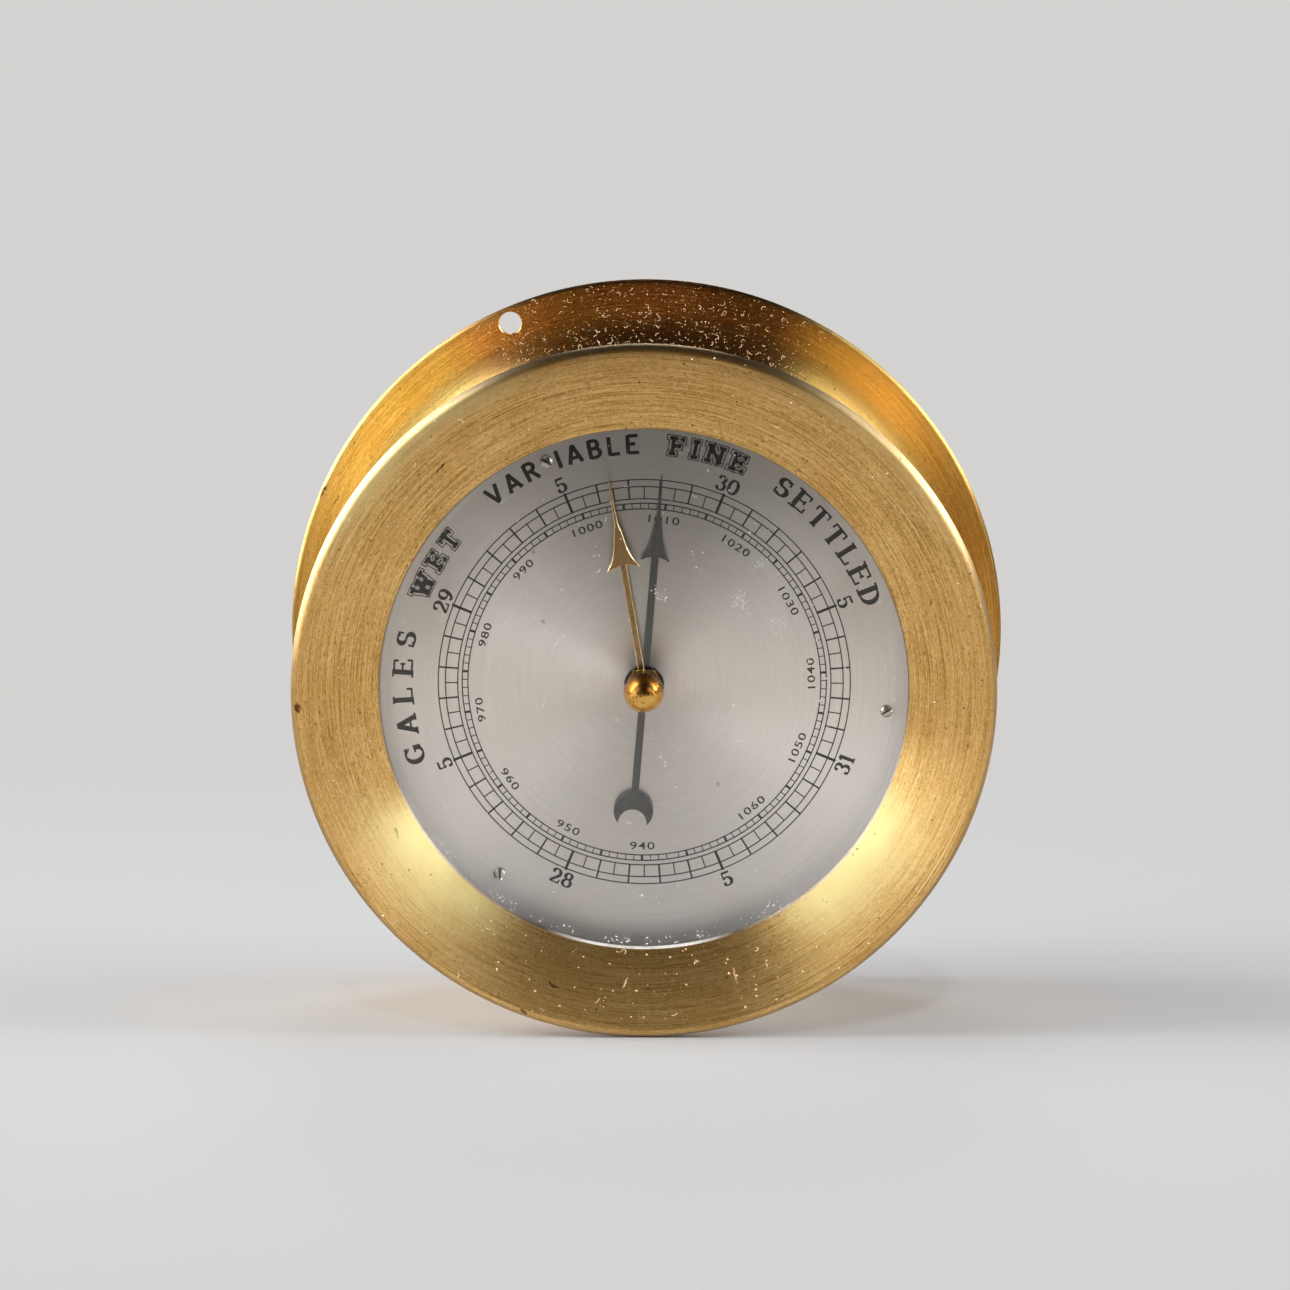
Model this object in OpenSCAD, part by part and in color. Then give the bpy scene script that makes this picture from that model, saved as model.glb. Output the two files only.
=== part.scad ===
// Aneroid barometer in a brass bulkhead case, with a dished bezel and a flared wall flange.
// Everything is drawn on the bench: z = 0 is the wall face, +z points out of the dial, +y is up.
// The last line of each piece, place(), stands it up: the dial then faces -Y and +Z is up.

/* [Case] */
// Diameter of the opening that shows the dial
opening_d = 114; // [112:1:140]
// Width of the bezel's dished face, from the opening to the outside
face_w = 19; // [16:0.5:23]
// Height of the bezel's rim above the wall
case_depth = 73; // [71:1:90]
// Thickness of the spun brass sheet
wall = 1.5; // [1.2:0.1:2]
// Reach of the wall flange beyond the drum
flange_w = 19.25; // [16:0.25:25]
// Width of the flat band around the flange's rim
flange_flat = 6.4; // [6:0.1:8]

/* [Wall holes] */
// Diameter of the three wall holes
hole_d = 5.1; // [3:0.1:5.2]
// Distance of a wall hole's centre from the flange's rim
hole_inset = 3.55; // [3.4:0.05:3.8]
// Turn of the hole pattern, and of the dial's pillars, from the right-hand side
hole_turn = 113.4; // [100:0.1:125]

/* [Bezel and glass] */
// Radius of the bezel's rounded outer edge
rim_round = 1.7; // [1.2:0.1:2]
// Drop of the dished face from the rim to the opening
dish_drop = 3.6; // [2:0.1:4.4]
// Thickness of the lip that the glass seats against
lip_t = 1.6; // [1:0.1:2]
// Depth of the bezel's hub along the drum
hub_h = 12; // [10:0.5:14]
// Thickness of the glass
glass_t = 2; // [1.5:0.1:2.4]

/* [Dial and hands] */
// Thickness of the dial plate
dial_t = 0.8; // [0.5:0.1:1.2]
// Depth from the back of the glass to the dial
dial_drop = 6; // [5.8:0.1:7]
// Diameter of the pillars behind the dial
pillar_d = 6; // [4.5:0.5:7.5]
// Turn of the pointer from upright at rest, clockwise
pointer_turn = 4.8; // [-150:0.1:130]
// Turn of the set hand from upright, clockwise
set_turn = -9.6; // [-180:0.1:180]
// Diameter of the domed knob
knob_d = 8.6; // [7:0.1:11]
// Diameter of the set hand's spindle
spindle_d = 2.4; // [1.8:0.1:3]

/* [Movement] */
// Diameter of the vacuum capsule
capsule_d = 39; // [32:0.5:46.8]
// Height of the vacuum capsule
capsule_h = 7; // [5:0.5:7.5]
// Size of the gear teeth, as the pitch diameter of one tooth
tooth_m = 0.4; // [0.35:0.01:0.48]
// Number of leaves on the pinion
pinion_n = 12; // [12:1:14]
// Number of teeth that the sector would have as a full wheel
sector_n = 120; // [110:2:130]
// Travel of the pointer below its rest reading, in degrees
swing_low = 184; // [60:1:184]
// Travel of the pointer above its rest reading, in degrees
swing_high = 135; // [60:1:150]
// Thickness of the movement's plates
plate_t = 1.2; // [1:0.1:1.6]
// Turns of the hairspring
hair_turns = 5; // [3:1:6]

/* [Fits] */
// Radial play of a turning shaft in its hole
run_fit = 0.05; // [0.02:0.01:0.08]
// Radial play between parts that are put together by hand
slip_fit = 0.1; // [0.05:0.05:0.2]

/* [Hidden] */
$fn = 96;
press_fit = 0.01;

brass = [0.80, 0.60, 0.25];
pale_brass = [0.86, 0.72, 0.40];
steel = [0.62, 0.63, 0.65];
dark_steel = [0.25, 0.28, 0.31];
silver = [0.80, 0.80, 0.80];

// Shank radii of the screws
case_screw_r = 1.5;
train_screw_r = 1.2;
bridge_screw_r = 1.05;
dial_screw_r = 0.9;
bracket_screw_r = 0.85;
rivet_r = 0.7;

// Radii of the case
opening_r = opening_d / 2;
drum_in = opening_r + 3;
drum_r = drum_in + wall;
bezel_r = opening_r + face_w;
flange_r = drum_r + flange_w;
cove_r = flange_w - flange_flat;
hole_r = hole_d / 2;
hole_ring = flange_r - hole_inset;
hole_angles = [for (i = [0:2]) hole_turn + 120 * i];

// Heights of the bezel and what it holds
open_z = case_depth - dish_drop;
lip_z = open_z - lip_t;
glass_z = lip_z - glass_t;
gasket_t = 0.5;
drum_top = glass_z - gasket_t;
hub_z = lip_z - hub_h;
hub_wall = 2.1;
bore_r = drum_r + slip_fit;
hub_r = bore_r + hub_wall;
glass_r = bore_r - 0.3;
rim_c = [bezel_r - rim_round, case_depth - 0.2];
bezel_cove = rim_c[0] - hub_r;

// Heights of the dial and the back
dial_z = glass_z - dial_drop;
dial_back = dial_z - dial_t;
dial_r = drum_in - 0.4;
seat_z = cove_r + wall;
seat_t = 2;
cover_t = 1.2;
cover_z = seat_z - cover_t;
pillar_ring = opening_r - 4;
dial_hole_r = 3;

// Set hand and pointer
knob_r = knob_d / 2;
spindle_r = spindle_d / 2;
bush_r = spindle_r + 1.2;
bush_lip = 0.8;
nut_t = 1.2;
washer_t = 0.4;
set_hub_t = 1.2;
set_z = glass_z - nut_t - washer_t - set_hub_t;
hand_t = 0.4;
hub_gap = 0.4;
pointer_hub_t = 2;
pointer_hub_r = 4.35;
pointer_hub_z = set_z - 0.4 - hub_gap - pointer_hub_t;
pointer_z = pointer_hub_z + 0.8;
pointer_len = opening_r - 11;
set_len = opening_r - 11.4;

// Heights of the movement, counted back from the dial
bridge_z = dial_back - 4;
sector_z = bridge_z - 5;
hair_z = sector_z + 2.6;
train_z = sector_z - 3.5;
base_t = 1.6;
base_z = train_z - 20;
base_top = base_z + base_t;
capsule_z = base_top + 1.9;
spring_t = 1;
spring_z = capsule_z + capsule_h + 4.3;
lever_z = spring_z + spring_t;
lever_t = 1.2;
rock_z = spring_z - 5.3;
link_top_z = spring_z - 0.3;

// Gear train
press_a = 25;
flank_play = 0.04;
gear_gap = tooth_m * (pinion_n + sector_n) / 2;
sector_dir = -40.1;
sector_at = gear_gap * [cos(sector_dir), sin(sector_dir)];
gear_ratio = sector_n / pinion_n;
tooth_step = 360 / sector_n;
sector_w = 1.2;
arbor_r = 0.8;
pivot_r = 0.4;
stud_x = 8.95;

// Linkage from the capsule to the sector
tail_len = 9;
rock_at = [sector_at[0], sector_at[1] + tail_len];
short_arm = 3.2;
link_x = rock_at[0] - short_arm;
capsule_r = capsule_d / 2;
capsule_x = link_x - 3.5 - capsule_r;
bridge_in = capsule_x - capsule_r - 1;
bridge_len = 8.5;
bridge_out = bridge_in - bridge_len;
bridge_w = 25;
adjust_at = [bridge_in - bridge_len / 2 - 0.5, 0];
base_r = 2.5 - bridge_out + 3;
pin_r = 0.4;
pin_play = 0.15;
guide_r = 0.5;
guide_play = 0.28;
rock_r = 1.1;
rock_pivot_r = 0.7;
rock_low = rock_at[1] - 4;
rock_high = 6;
bracket_t = 1.2;
bracket_feet = [for (y = [rock_low - bracket_t - 2.6, rock_high + bracket_t + 2.6]) [rock_at[0] + 4, y]];
lever_end = link_x + 2;
clamp_t = 1.4;
clamp_points = [for (y = [-7, 7]) [bridge_in - bridge_len / 2, y]];
bridge_feet = [for (y = [-9.5, 9.5]) [adjust_at[0], y]];
rivet_points = [for (x = [-4.2, 4.8]) [capsule_x + x, 0]];

// Posts and the adjusting screw
post_r = 2.8;
spigot_r = 1.5;
frame_posts = [[8, -26], [30, -4], [6, 26]];
base_post_ring = 34;
base_post_angles = [90, 210, 322];
post_grip = (base_z - seat_z) * 0.37;
foot_stem_r = 2;
adjust_r = 1.6;
adjust_head_r = 2.5;
adjust_tip_r = 0.9;
bush_body_r = 2.8;

// Stands a bench drawing up against the wall
module place() {
    rotate([90, 0, 0]) children();
}

// A disc with its lower face at a height
module disc(r, z0, z1) {
    translate([0, 0, z0]) cylinder(r = r, h = z1 - z0);
}

// A flat ring between two radii and two heights
module ring(r_in, r_out, z0, z1) {
    difference() {
        disc(r_out, z0, z1);
        disc(r_in, z0 - 1, z1 + 1);
    }
}

// A flat bar between two points, narrower than the bosses that it joins
module arm(a, b, w, z0, z1) {
    d = b - a;
    translate([a[0], a[1], 0]) rotate([0, 0, atan2(d[1], d[0])])
        translate([0, -w / 2, z0]) cube([norm(d), w, z1 - z0]);
}

// Copies at equal radius and the given angles
module around(r, angles) {
    for (a = angles) rotate([0, 0, a]) translate([r, 0, 0]) children();
}

// Copies at a list of points
module at_each(points) {
    for (p = points) translate([p[0], p[1], 0]) children();
}

// A cheese-head screw whose head stands on z = 0 and whose shank goes down, with a slot
module screw(head_r, head_h, shank_r, shank_len, slot = 0.6) {
    difference() {
        disc(head_r, 0, head_h);
        translate([-head_r - 1, -slot / 2, head_h * 0.5]) cube([2 * head_r + 2, slot, head_h]);
    }
    disc(shank_r, -shank_len, 0.2);
}

// Points of a round corner
function arc(c, r, a0, a1, n) = [for (i = [0:n]) c + r * [cos(a0 + (a1 - a0) * i / n),
    sin(a0 + (a1 - a0) * i / n)]];

// Spun shell: flat rim, flare, and the drum that the bezel screws on
module case_shell() {
    flare_c = [drum_r + cove_r, cove_r + wall];
    color(brass) place() difference() {
        rotate_extrude() polygon(concat(
            [[flange_r, 0], [flange_r, wall - 0.4], [flange_r - 0.4, wall]],
            arc(flare_c, cove_r, 270, 180, 20),
            [[drum_r, drum_top], [drum_in, drum_top]],
            arc(flare_c, cove_r + wall, 180, 270, 20)
        ));
        around(hole_ring, hole_angles) disc(hole_r, -1, wall + 1);
    }
}

// Ring soldered in the drum, which the back cover and the pillars are screwed to
module seat_ring() {
    color(pale_brass) place() difference() {
        ring(pillar_ring - pillar_d / 2 - 4, drum_in - slip_fit, seat_z, seat_z + seat_t);
        around(pillar_ring, hole_angles) disc(case_screw_r + slip_fit, 0, seat_z + seat_t + 1);
    }
}

// Cover plate, set back from the wall, with a hole over the adjusting screw
module back_cover() {
    color(brass) place() difference() {
        disc(drum_in - 1.8, cover_z, seat_z);
        around(pillar_ring, hole_angles) disc(case_screw_r + slip_fit, 0, seat_z + 1);
        around(base_post_ring, base_post_angles) disc(case_screw_r + slip_fit, 0, seat_z + 1);
        at_each([adjust_at]) disc(adjust_head_r + 0.7, 0, seat_z + 1);
    }
}

module back_screws() {
    color(pale_brass) place() around(pillar_ring, hole_angles)
        translate([0, 0, cover_z]) mirror([0, 0, 1]) screw(2.8, 1.2, case_screw_r, cover_t + seat_t + 5, 0.8);
}

// Turned bezel: dished face, rounded edge, coved back and the hub that screws on the drum
module bezel() {
    to_rim = rim_c - [opening_r, open_z];
    dish_a = atan2(to_rim[1], to_rim[0]) + asin(rim_round / norm(to_rim));
    cove_c = [rim_c[0], rim_c[1] - rim_round - bezel_cove];
    color(brass) place() rotate_extrude() polygon(concat(
        [[bore_r, hub_z], [hub_r - 0.4, hub_z], [hub_r, hub_z + 0.4]],
        arc(cove_c, bezel_cove, 180, 90, 16),
        arc(rim_c, rim_round, -80, 90 + dish_a, 16),
        [[opening_r + 0.3, open_z + 0.09], [opening_r, open_z - 0.3], [opening_r, lip_z], [bore_r, lip_z]]
    ));
}

// Flat glass with a hole for the knob's bush
module glass() {
    color([0.85, 0.92, 0.92, 0.35]) place() ring(bush_r + slip_fit, glass_r, glass_z, lip_z);
}

module glass_gasket() {
    color(dark_steel) place() ring(drum_in + 0.2, glass_r, drum_top, glass_z);
}

// Bright ring that stands on the dial's edge and presses the glass into the bezel
module sight_ring() {
    r_out = drum_in - 0.3;
    color(silver) place() rotate_extrude() polygon([[r_out - 1, dial_z], [r_out, dial_z],
        [r_out, glass_z], [r_out - 1.4, glass_z], [r_out - 1.4, glass_z - 0.8], [r_out - 1, glass_z - 1.2]]);
}

// Silvered dial plate
module dial() {
    color(silver) place() difference() {
        ring(dial_hole_r, dial_r, dial_back, dial_z);
        around(pillar_ring, hole_angles) disc(dial_screw_r + 2 * slip_fit, 0, dial_z + 1);
    }
}

// Pillars from the seat ring to the dial, drilled at both ends
module dial_pillars() {
    color(pale_brass) place() around(pillar_ring, hole_angles) difference() {
        disc(pillar_d / 2, seat_z + seat_t, dial_back);
        disc(case_screw_r + run_fit, 0, seat_z + seat_t + 6);
        disc(dial_screw_r + run_fit, dial_back - 5, dial_z);
    }
}

// Small round-headed screws with a slot
module dial_screws() {
    color(silver) place() around(pillar_ring, hole_angles) translate([0, 0, dial_z]) rotate([0, 0, 35])
        difference() {
            union() {
                disc(dial_screw_r, -dial_t - 4, 0.1);
                rotate_extrude() polygon([[0, 0], [1.4, 0], [1.4, 0.35], [1.25, 0.65], [0.9, 0.85],
                    [0, 0.95]]);
            }
            translate([-2, -0.2, 0.5]) cube([4, 0.4, 1]);
        }
}

// Polished dome on a short neck
module knob() {
    z0 = lip_z + bush_lip + 0.1;
    dome_z = z0 + 2.6;
    color(brass) place() difference() {
        rotate_extrude() polygon(concat(
            [[0, z0], [knob_r * 0.62, z0], [knob_r * 0.62, z0 + 0.9]],
            arc([0, dome_z], knob_r, -26, 90, 22)
        ));
        disc(spindle_r + press_fit, z0 - 1, dome_z);
    }
}

module knob_spindle() {
    color(steel) place() union() {
        disc(spindle_r, set_z - 0.2, lip_z + bush_lip + 2.69);
        disc(spindle_r + 0.35, set_z - 0.4, set_z);
    }
}

// Shouldered bush through the glass
module knob_bush() {
    color(brass) place() difference() {
        union() {
            disc(bush_r + 1.1, lip_z, lip_z + bush_lip);
            disc(bush_r, glass_z - nut_t, lip_z + 0.1);
        }
        disc(spindle_r + run_fit, 0, case_depth + 20);
    }
}

// Hexagon nut that holds the bush in the glass
module bush_nut() {
    color(brass) place() difference() {
        translate([0, 0, glass_z - nut_t]) cylinder(r = bush_r + 2, h = nut_t, $fn = 6);
        disc(bush_r + run_fit, 0, case_depth);
    }
}

// Dished washer that holds the set hand where it is turned
module spring_washer() {
    z0 = glass_z - nut_t - washer_t;
    z1 = z0 + washer_t - 0.15;
    color(steel) place() rotate_extrude() polygon([[spindle_r + 0.1, z0], [spindle_r + 0.5, z0],
        [bush_r + 1, z1], [bush_r + 1, z0 + washer_t], [spindle_r + 0.6, z1], [spindle_r + 0.1, z1]]);
}

// Flat hand along +y: a waisted stem, a barbed head and a needle
module hand(len, stem_w, head_w, barb_y, head_y) {
    half = [[stem_w / 2, 0], [stem_w * 0.42, barb_y + 1.4], [head_w * 0.3, barb_y + 0.5],
        [head_w / 2, barb_y - 0.6], [head_w * 0.4, barb_y + 1.2], [head_w * 0.27, barb_y + 3.2],
        [head_w * 0.15, barb_y + 5.6], [0.42, head_y], [0.24, len - 2], [0.12, len]];
    last = len(half) - 1;
    linear_extrude(hand_t) polygon(concat(half, [for (i = [last:-1:0]) [-half[i][0], half[i][1]]]));
}

module set_hand() {
    blade_z = set_z + 0.4;
    color(pale_brass) place() rotate([0, 0, -set_turn]) difference() {
        union() {
            disc(spindle_r + 1.4, set_z, set_z + set_hub_t);
            translate([0, 0, blade_z]) hand(set_len, 1.4, 6.3, 26.6, 35.2);
        }
        disc(spindle_r + press_fit, 0, case_depth);
    }
}

// Blued pointer with a crescent on its tail
module pointer() {
    tail_y = -pointer_len * 0.615;
    color(dark_steel) place() rotate([0, 0, -pointer_turn]) difference() {
        union() {
            translate([0, 0, pointer_z]) hand(pointer_len, 1.6, 5.6, 27.8, 36);
            disc(3.4, pointer_z, pointer_z + hand_t);
            translate([-0.8, tail_y + 3.5, pointer_z]) cube([1.6, -tail_y - 3.5, hand_t]);
            difference() {
                translate([0, tail_y, 0]) disc(4.3, pointer_z, pointer_z + hand_t);
                translate([0, tail_y - 2.75, 0]) disc(3.1, pointer_z - 1, pointer_z + 1);
            }
        }
        disc(1.9 + press_fit, 0, case_depth);
    }
}

// Boss that the pointer is riveted to
module pointer_hub() {
    color(dark_steel) place() difference() {
        union() {
            disc(1.9, pointer_hub_z, pointer_z + hand_t);
            disc(pointer_hub_r, pointer_z + hand_t, pointer_hub_z + pointer_hub_t - 0.4);
            disc(pointer_hub_r - 0.4, pointer_hub_z + pointer_hub_t - 0.5, pointer_hub_z + pointer_hub_t);
        }
        disc(arbor_r + press_fit, 0, pointer_hub_z + pointer_hub_t - 0.5);
    }
}

// Involute angle of a flank point, in degrees
function inv_angle(a) = tan(a) * 180 / PI - a;

// Half the angle that a tooth fills at radius r
function tooth_half(n, m, r) = let (pitch_r = n * m / 2, base_r = pitch_r * cos(press_a))
    90 / n - flank_play / pitch_r * 180 / PI + inv_angle(press_a) - inv_angle(acos(min(1, base_r / r)));

// Outline of one tooth, from root to root, centred on an angle
function tooth(n, m, centre, steps = 5) = let (
        pitch_r = n * m / 2, root_r = pitch_r - 1.25 * m, tip_r = pitch_r + m,
        from_r = max(root_r + 0.001, pitch_r * cos(press_a)),
        radii = [for (i = [0:steps]) from_r + (tip_r - from_r) * i / steps],
        right = [for (r = radii) [r, centre - tooth_half(n, m, r)]],
        left = [for (i = [steps:-1:0]) [radii[i], centre + tooth_half(n, m, radii[i])]],
        foot = tooth_half(n, m, from_r),
        polar = concat([[root_r, centre - foot]], right, left, [[root_r, centre + foot]])
    ) [for (p = polar) [p[0] * cos(p[1]), p[0] * sin(p[1])]];

// Arbor with the pinion's leaves cut on it
module pointer_arbor() {
    leaves = [for (i = [0:pinion_n - 1]) each tooth(pinion_n, tooth_m, sector_dir + 360 / pinion_n * i)];
    color(steel) place() union() {
        disc(arbor_r, train_z + plate_t + 0.2, bridge_z - 0.1);
        disc(pivot_r, train_z + 0.2, train_z + plate_t + 0.3);
        disc(arbor_r - 0.02, bridge_z - 0.2, pointer_hub_z + pointer_hub_t - 0.5);
        translate([0, 0, sector_z - 0.4]) linear_extrude(sector_w + 0.8) polygon(leaves);
    }
}

// Flat spiral that takes up the play in the train
module hairspring() {
    r0 = 2.05;
    r1 = stud_x - 0.95;
    half_t = 0.12;
    steps = 24 * hair_turns;
    spiral = [for (i = [0:steps]) [r0 + (r1 - r0) * i / steps, 360 * hair_turns * i / steps]];
    color(steel) place() translate([0, 0, hair_z]) linear_extrude(0.8) polygon(concat(
        [for (p = spiral) (p[0] + half_t) * [cos(p[1]), sin(p[1])]],
        [for (i = [steps:-1:0]) (spiral[i][0] - half_t) * [cos(spiral[i][1]), sin(spiral[i][1])]]
    ));
}

module hairspring_collet() {
    color(pale_brass) place() ring(arbor_r + press_fit, 1.85, hair_z - 0.3, hair_z + 1.1);
}

// Peg under the top bridge that holds the spiral's outer end
module hairspring_stud() {
    color(pale_brass) place() translate([stud_x, 0, 0]) disc(0.75, hair_z - 0.2, bridge_z);
}

// Toothed sector with a window, a forked tail and a balance lobe
module sector_gear() {
    rise = swing_low / gear_ratio;
    fall = swing_high / gear_ratio;
    mid = sector_dir + 180 + tooth_step / 2;
    first = -ceil(fall / tooth_step) - 2;
    last = ceil(rise / tooth_step) + 1;
    pitch_r = tooth_m * sector_n / 2;
    rim_in = pitch_r - 1.25 * tooth_m - 2.2;
    root_r = pitch_r - 1.25 * tooth_m;
    a0 = mid + (first - 0.5) * tooth_step;
    a1 = mid + (last + 0.5) * tooth_step;
    teeth = [for (i = [first:last]) each tooth(sector_n, tooth_m, mid + tooth_step * i, 4)];
    inner = [for (i = [0:16]) let (a = a1 + (a0 - a1) * i / 16) rim_in * [cos(a), sin(a)]];
    spoke_r = rim_in + 0.6;
    color(pale_brass) place() at_each([sector_at]) translate([0, 0, sector_z]) difference() {
        union() {
            linear_extrude(sector_w) polygon(concat(
                [root_r * [cos(a0), sin(a0)]], teeth, [root_r * [cos(a1), sin(a1)]], inner));
            disc(3.4, 0, sector_w);
            for (a = [a0 + 3, a1 - 3])
                rotate([0, 0, a]) translate([2, -1.3, 0]) cube([spoke_r - 2, 2.6, sector_w]);
            rotate([0, 0, (a0 + a1) / 2]) translate([rim_in * 0.55, 0, 0]) intersection() {
                translate([0, -6, 0]) cube([1.8, 12, sector_w]);
                translate([-rim_in * 0.55, 0, 0]) disc(rim_in * 0.62, 0, sector_w);
            }
            translate([-2.1, 0, 0]) cube([4.2, tail_len + 2, sector_w]);
            rotate([0, 0, (a0 + a1) / 2 + 180]) {
                arm([0, 0], [7, 0], 4, 0, sector_w);
                translate([7, 0, 0]) disc(3.2, 0, sector_w);
            }
        }
        disc(arbor_r + 0.3, -1, sector_w + 1);
        translate([-guide_r - guide_play, tail_len - 2, -1])
            cube([2 * (guide_r + guide_play), 10, sector_w + 2]);
    }
}

module sector_arbor() {
    color(steel) place() at_each([sector_at]) union() {
        disc(arbor_r + 0.3, train_z + plate_t + 0.2, bridge_z - 0.2);
        disc(2, sector_z - 0.8, sector_z);
        disc(pivot_r, train_z + 0.2, bridge_z + plate_t - 0.2);
    }
}

// Bridge that carries the upper pivots and the spiral's stud
module top_bridge() {
    z1 = bridge_z + plate_t;
    color(brass) place() difference() {
        union() {
            at_each(frame_posts) disc(4.6, bridge_z, z1);
            disc(5, bridge_z, z1);
            translate([stud_x, 0, 0]) disc(2.4, bridge_z, z1);
            at_each([sector_at]) disc(4.4, bridge_z, z1);
            arm(frame_posts[0], frame_posts[1], 7.4, bridge_z, z1);
            arm([0, 0], (frame_posts[0] + frame_posts[1]) / 2, 6.6, bridge_z, z1);
            arm([0, 0], frame_posts[2], 7, bridge_z, z1);
            arm([0, 0], [stud_x, 0], 4, bridge_z, z1);
        }
        disc(arbor_r - 0.02 + run_fit, 0, dial_z);
        at_each([sector_at]) disc(pivot_r + run_fit, 0, dial_z);
        at_each(frame_posts) disc(train_screw_r + slip_fit, 0, dial_z);
    }
}

module train_pillars() {
    color(pale_brass) place() at_each(frame_posts)
        ring(train_screw_r + slip_fit, post_r, train_z + plate_t, bridge_z);
}

module train_screws() {
    color(steel) place() at_each(frame_posts) translate([0, 0, bridge_z + plate_t])
        screw(2.3, 1.2, train_screw_r, bridge_z + 2 * plate_t - train_z + 2.6, 0.6);
}

// Lower train plate, notched for the rocking arm
module train_plate() {
    z1 = train_z + plate_t;
    notch = [10, 4.6];
    color(brass) place() difference() {
        union() {
            at_each(frame_posts) disc(5.4, train_z, z1);
            disc(7, train_z, z1);
            at_each([sector_at]) disc(5, train_z, z1);
            arm(frame_posts[0], frame_posts[1], 9, train_z, z1);
            arm(frame_posts[1], frame_posts[2], 7, train_z, z1);
            arm(frame_posts[2], frame_posts[0], 8, train_z, z1);
        }
        disc(pivot_r + run_fit, 0, dial_z);
        at_each([sector_at]) disc(pivot_r + run_fit, 0, dial_z);
        at_each([rock_at - notch / 2]) cube([notch[0], notch[1], dial_z]);
        at_each(frame_posts) disc(train_screw_r + slip_fit, 0, dial_z);
    }
}

// Pillars between the base plate and the train plate, drilled at the top and spigoted below
module frame_pillars() {
    color(pale_brass) place() at_each(frame_posts) difference() {
        union() {
            disc(post_r, base_top, train_z);
            disc(spigot_r, base_z, base_top + 0.1);
        }
        disc(train_screw_r + run_fit, train_z - 4, train_z + 1);
    }
}

// Round base plate of the movement
module base_plate() {
    color(brass) place() difference() {
        disc(base_r, base_z, base_top);
        around(base_post_ring, base_post_angles) disc(case_screw_r + slip_fit, 0, dial_z);
        at_each(frame_posts) disc(spigot_r + run_fit, 0, dial_z);
        at_each([adjust_at]) disc(bush_body_r + run_fit, 0, dial_z);
        at_each([[capsule_x, 0]]) disc(foot_stem_r + run_fit, 0, dial_z);
        at_each(bridge_feet) disc(bridge_screw_r + run_fit, 0, dial_z);
        at_each(bracket_feet) disc(bracket_screw_r + run_fit, 0, dial_z);
    }
}

// Posts from the back cover to the base plate, tapped at both ends
module base_posts() {
    color(pale_brass) place() around(base_post_ring, base_post_angles) difference() {
        disc(3.2, seat_z, base_z);
        disc(case_screw_r + run_fit, 0, seat_z + post_grip + 0.5);
        disc(case_screw_r + run_fit, base_z - post_grip - 0.5, base_z + 1);
    }
}

module base_screws() {
    color(steel) place() around(base_post_ring, base_post_angles)
        translate([0, 0, base_top]) screw(2.6, 1.6, case_screw_r, base_t + post_grip, 0.7);
}

module post_screws() {
    color(pale_brass) place() around(base_post_ring, base_post_angles)
        translate([0, 0, cover_z]) mirror([0, 0, 1]) screw(2.6, 1.2, case_screw_r, cover_t + post_grip, 0.8);
}

// Corrugated vacuum capsule, a closed box of two thin rippled discs
module capsule() {
    ripple = 0.45;
    waves = 5;
    flat_r = 3.6;
    edge_r = capsule_r - 1.6;
    steps = waves * 8;
    mid = capsule_z + capsule_h / 2;
    skin = [for (i = [0:steps]) [flat_r + (edge_r - flat_r) * i / steps,
        capsule_h / 2 - 0.9 - ripple * cos(360 * waves * i / steps)]];
    half = concat([[0, capsule_h / 2], [3.5, capsule_h / 2], [flat_r, capsule_h / 2 - 1.1]], skin,
        [[capsule_r, 0.55], [capsule_r, 0]]);
    last = len(half) - 1;
    color(steel) place() translate([capsule_x, 0, mid]) rotate_extrude() polygon(concat(half,
        [for (i = [last - 1:-1:0]) [half[i][0], -half[i][1]]]));
}

// Stud that fastens the capsule to the base plate
module capsule_foot() {
    color(pale_brass) place() translate([capsule_x, 0, 0]) union() {
        disc(4.2, base_top, capsule_z);
        disc(foot_stem_r, base_z - 1.2, base_top + 0.1);
        translate([0, 0, base_z - 1.8]) cylinder(r = 4, h = 1.8, $fn = 6);
    }
}

// Draw stud on the capsule's top, slotted for the knife-edge key
module capsule_stud() {
    z0 = capsule_z + capsule_h;
    key_z = lever_z + lever_t;
    color(pale_brass) place() translate([capsule_x, 0, 0]) difference() {
        union() {
            disc(3, z0, z0 + 1.5);
            disc(1.5, z0 + 1, key_z + 2);
        }
        translate([-0.55, -4, key_z]) cube([1.1, 8, 1.2]);
    }
}

// Knife-edge key through the draw stud
module stud_key() {
    key_z = lever_z + lever_t;
    color(steel) place() translate([capsule_x, 4.5, key_z]) rotate([90, 0, 0])
        linear_extrude(9) polygon([[0, 0], [0.5, 0.5], [0.5, 1.1], [-0.5, 1.1], [-0.5, 0.5]]);
}

// Tapered leaf spring that holds the capsule open against the air
module main_spring() {
    tip_x = capsule_x + 7;
    color(dark_steel) place() difference() {
        translate([0, 0, spring_z]) linear_extrude(spring_t) polygon([[bridge_out, -12], [bridge_in + 1, -12],
            [tip_x, -5], [tip_x, 5], [bridge_in + 1, 12], [bridge_out, 12]]);
        translate([capsule_x, 0, 0]) disc(1.7, 0, dial_z);
        at_each(clamp_points) disc(train_screw_r + slip_fit, 0, dial_z);
        at_each(rivet_points) disc(rivet_r, 0, dial_z);
    }
}

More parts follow.
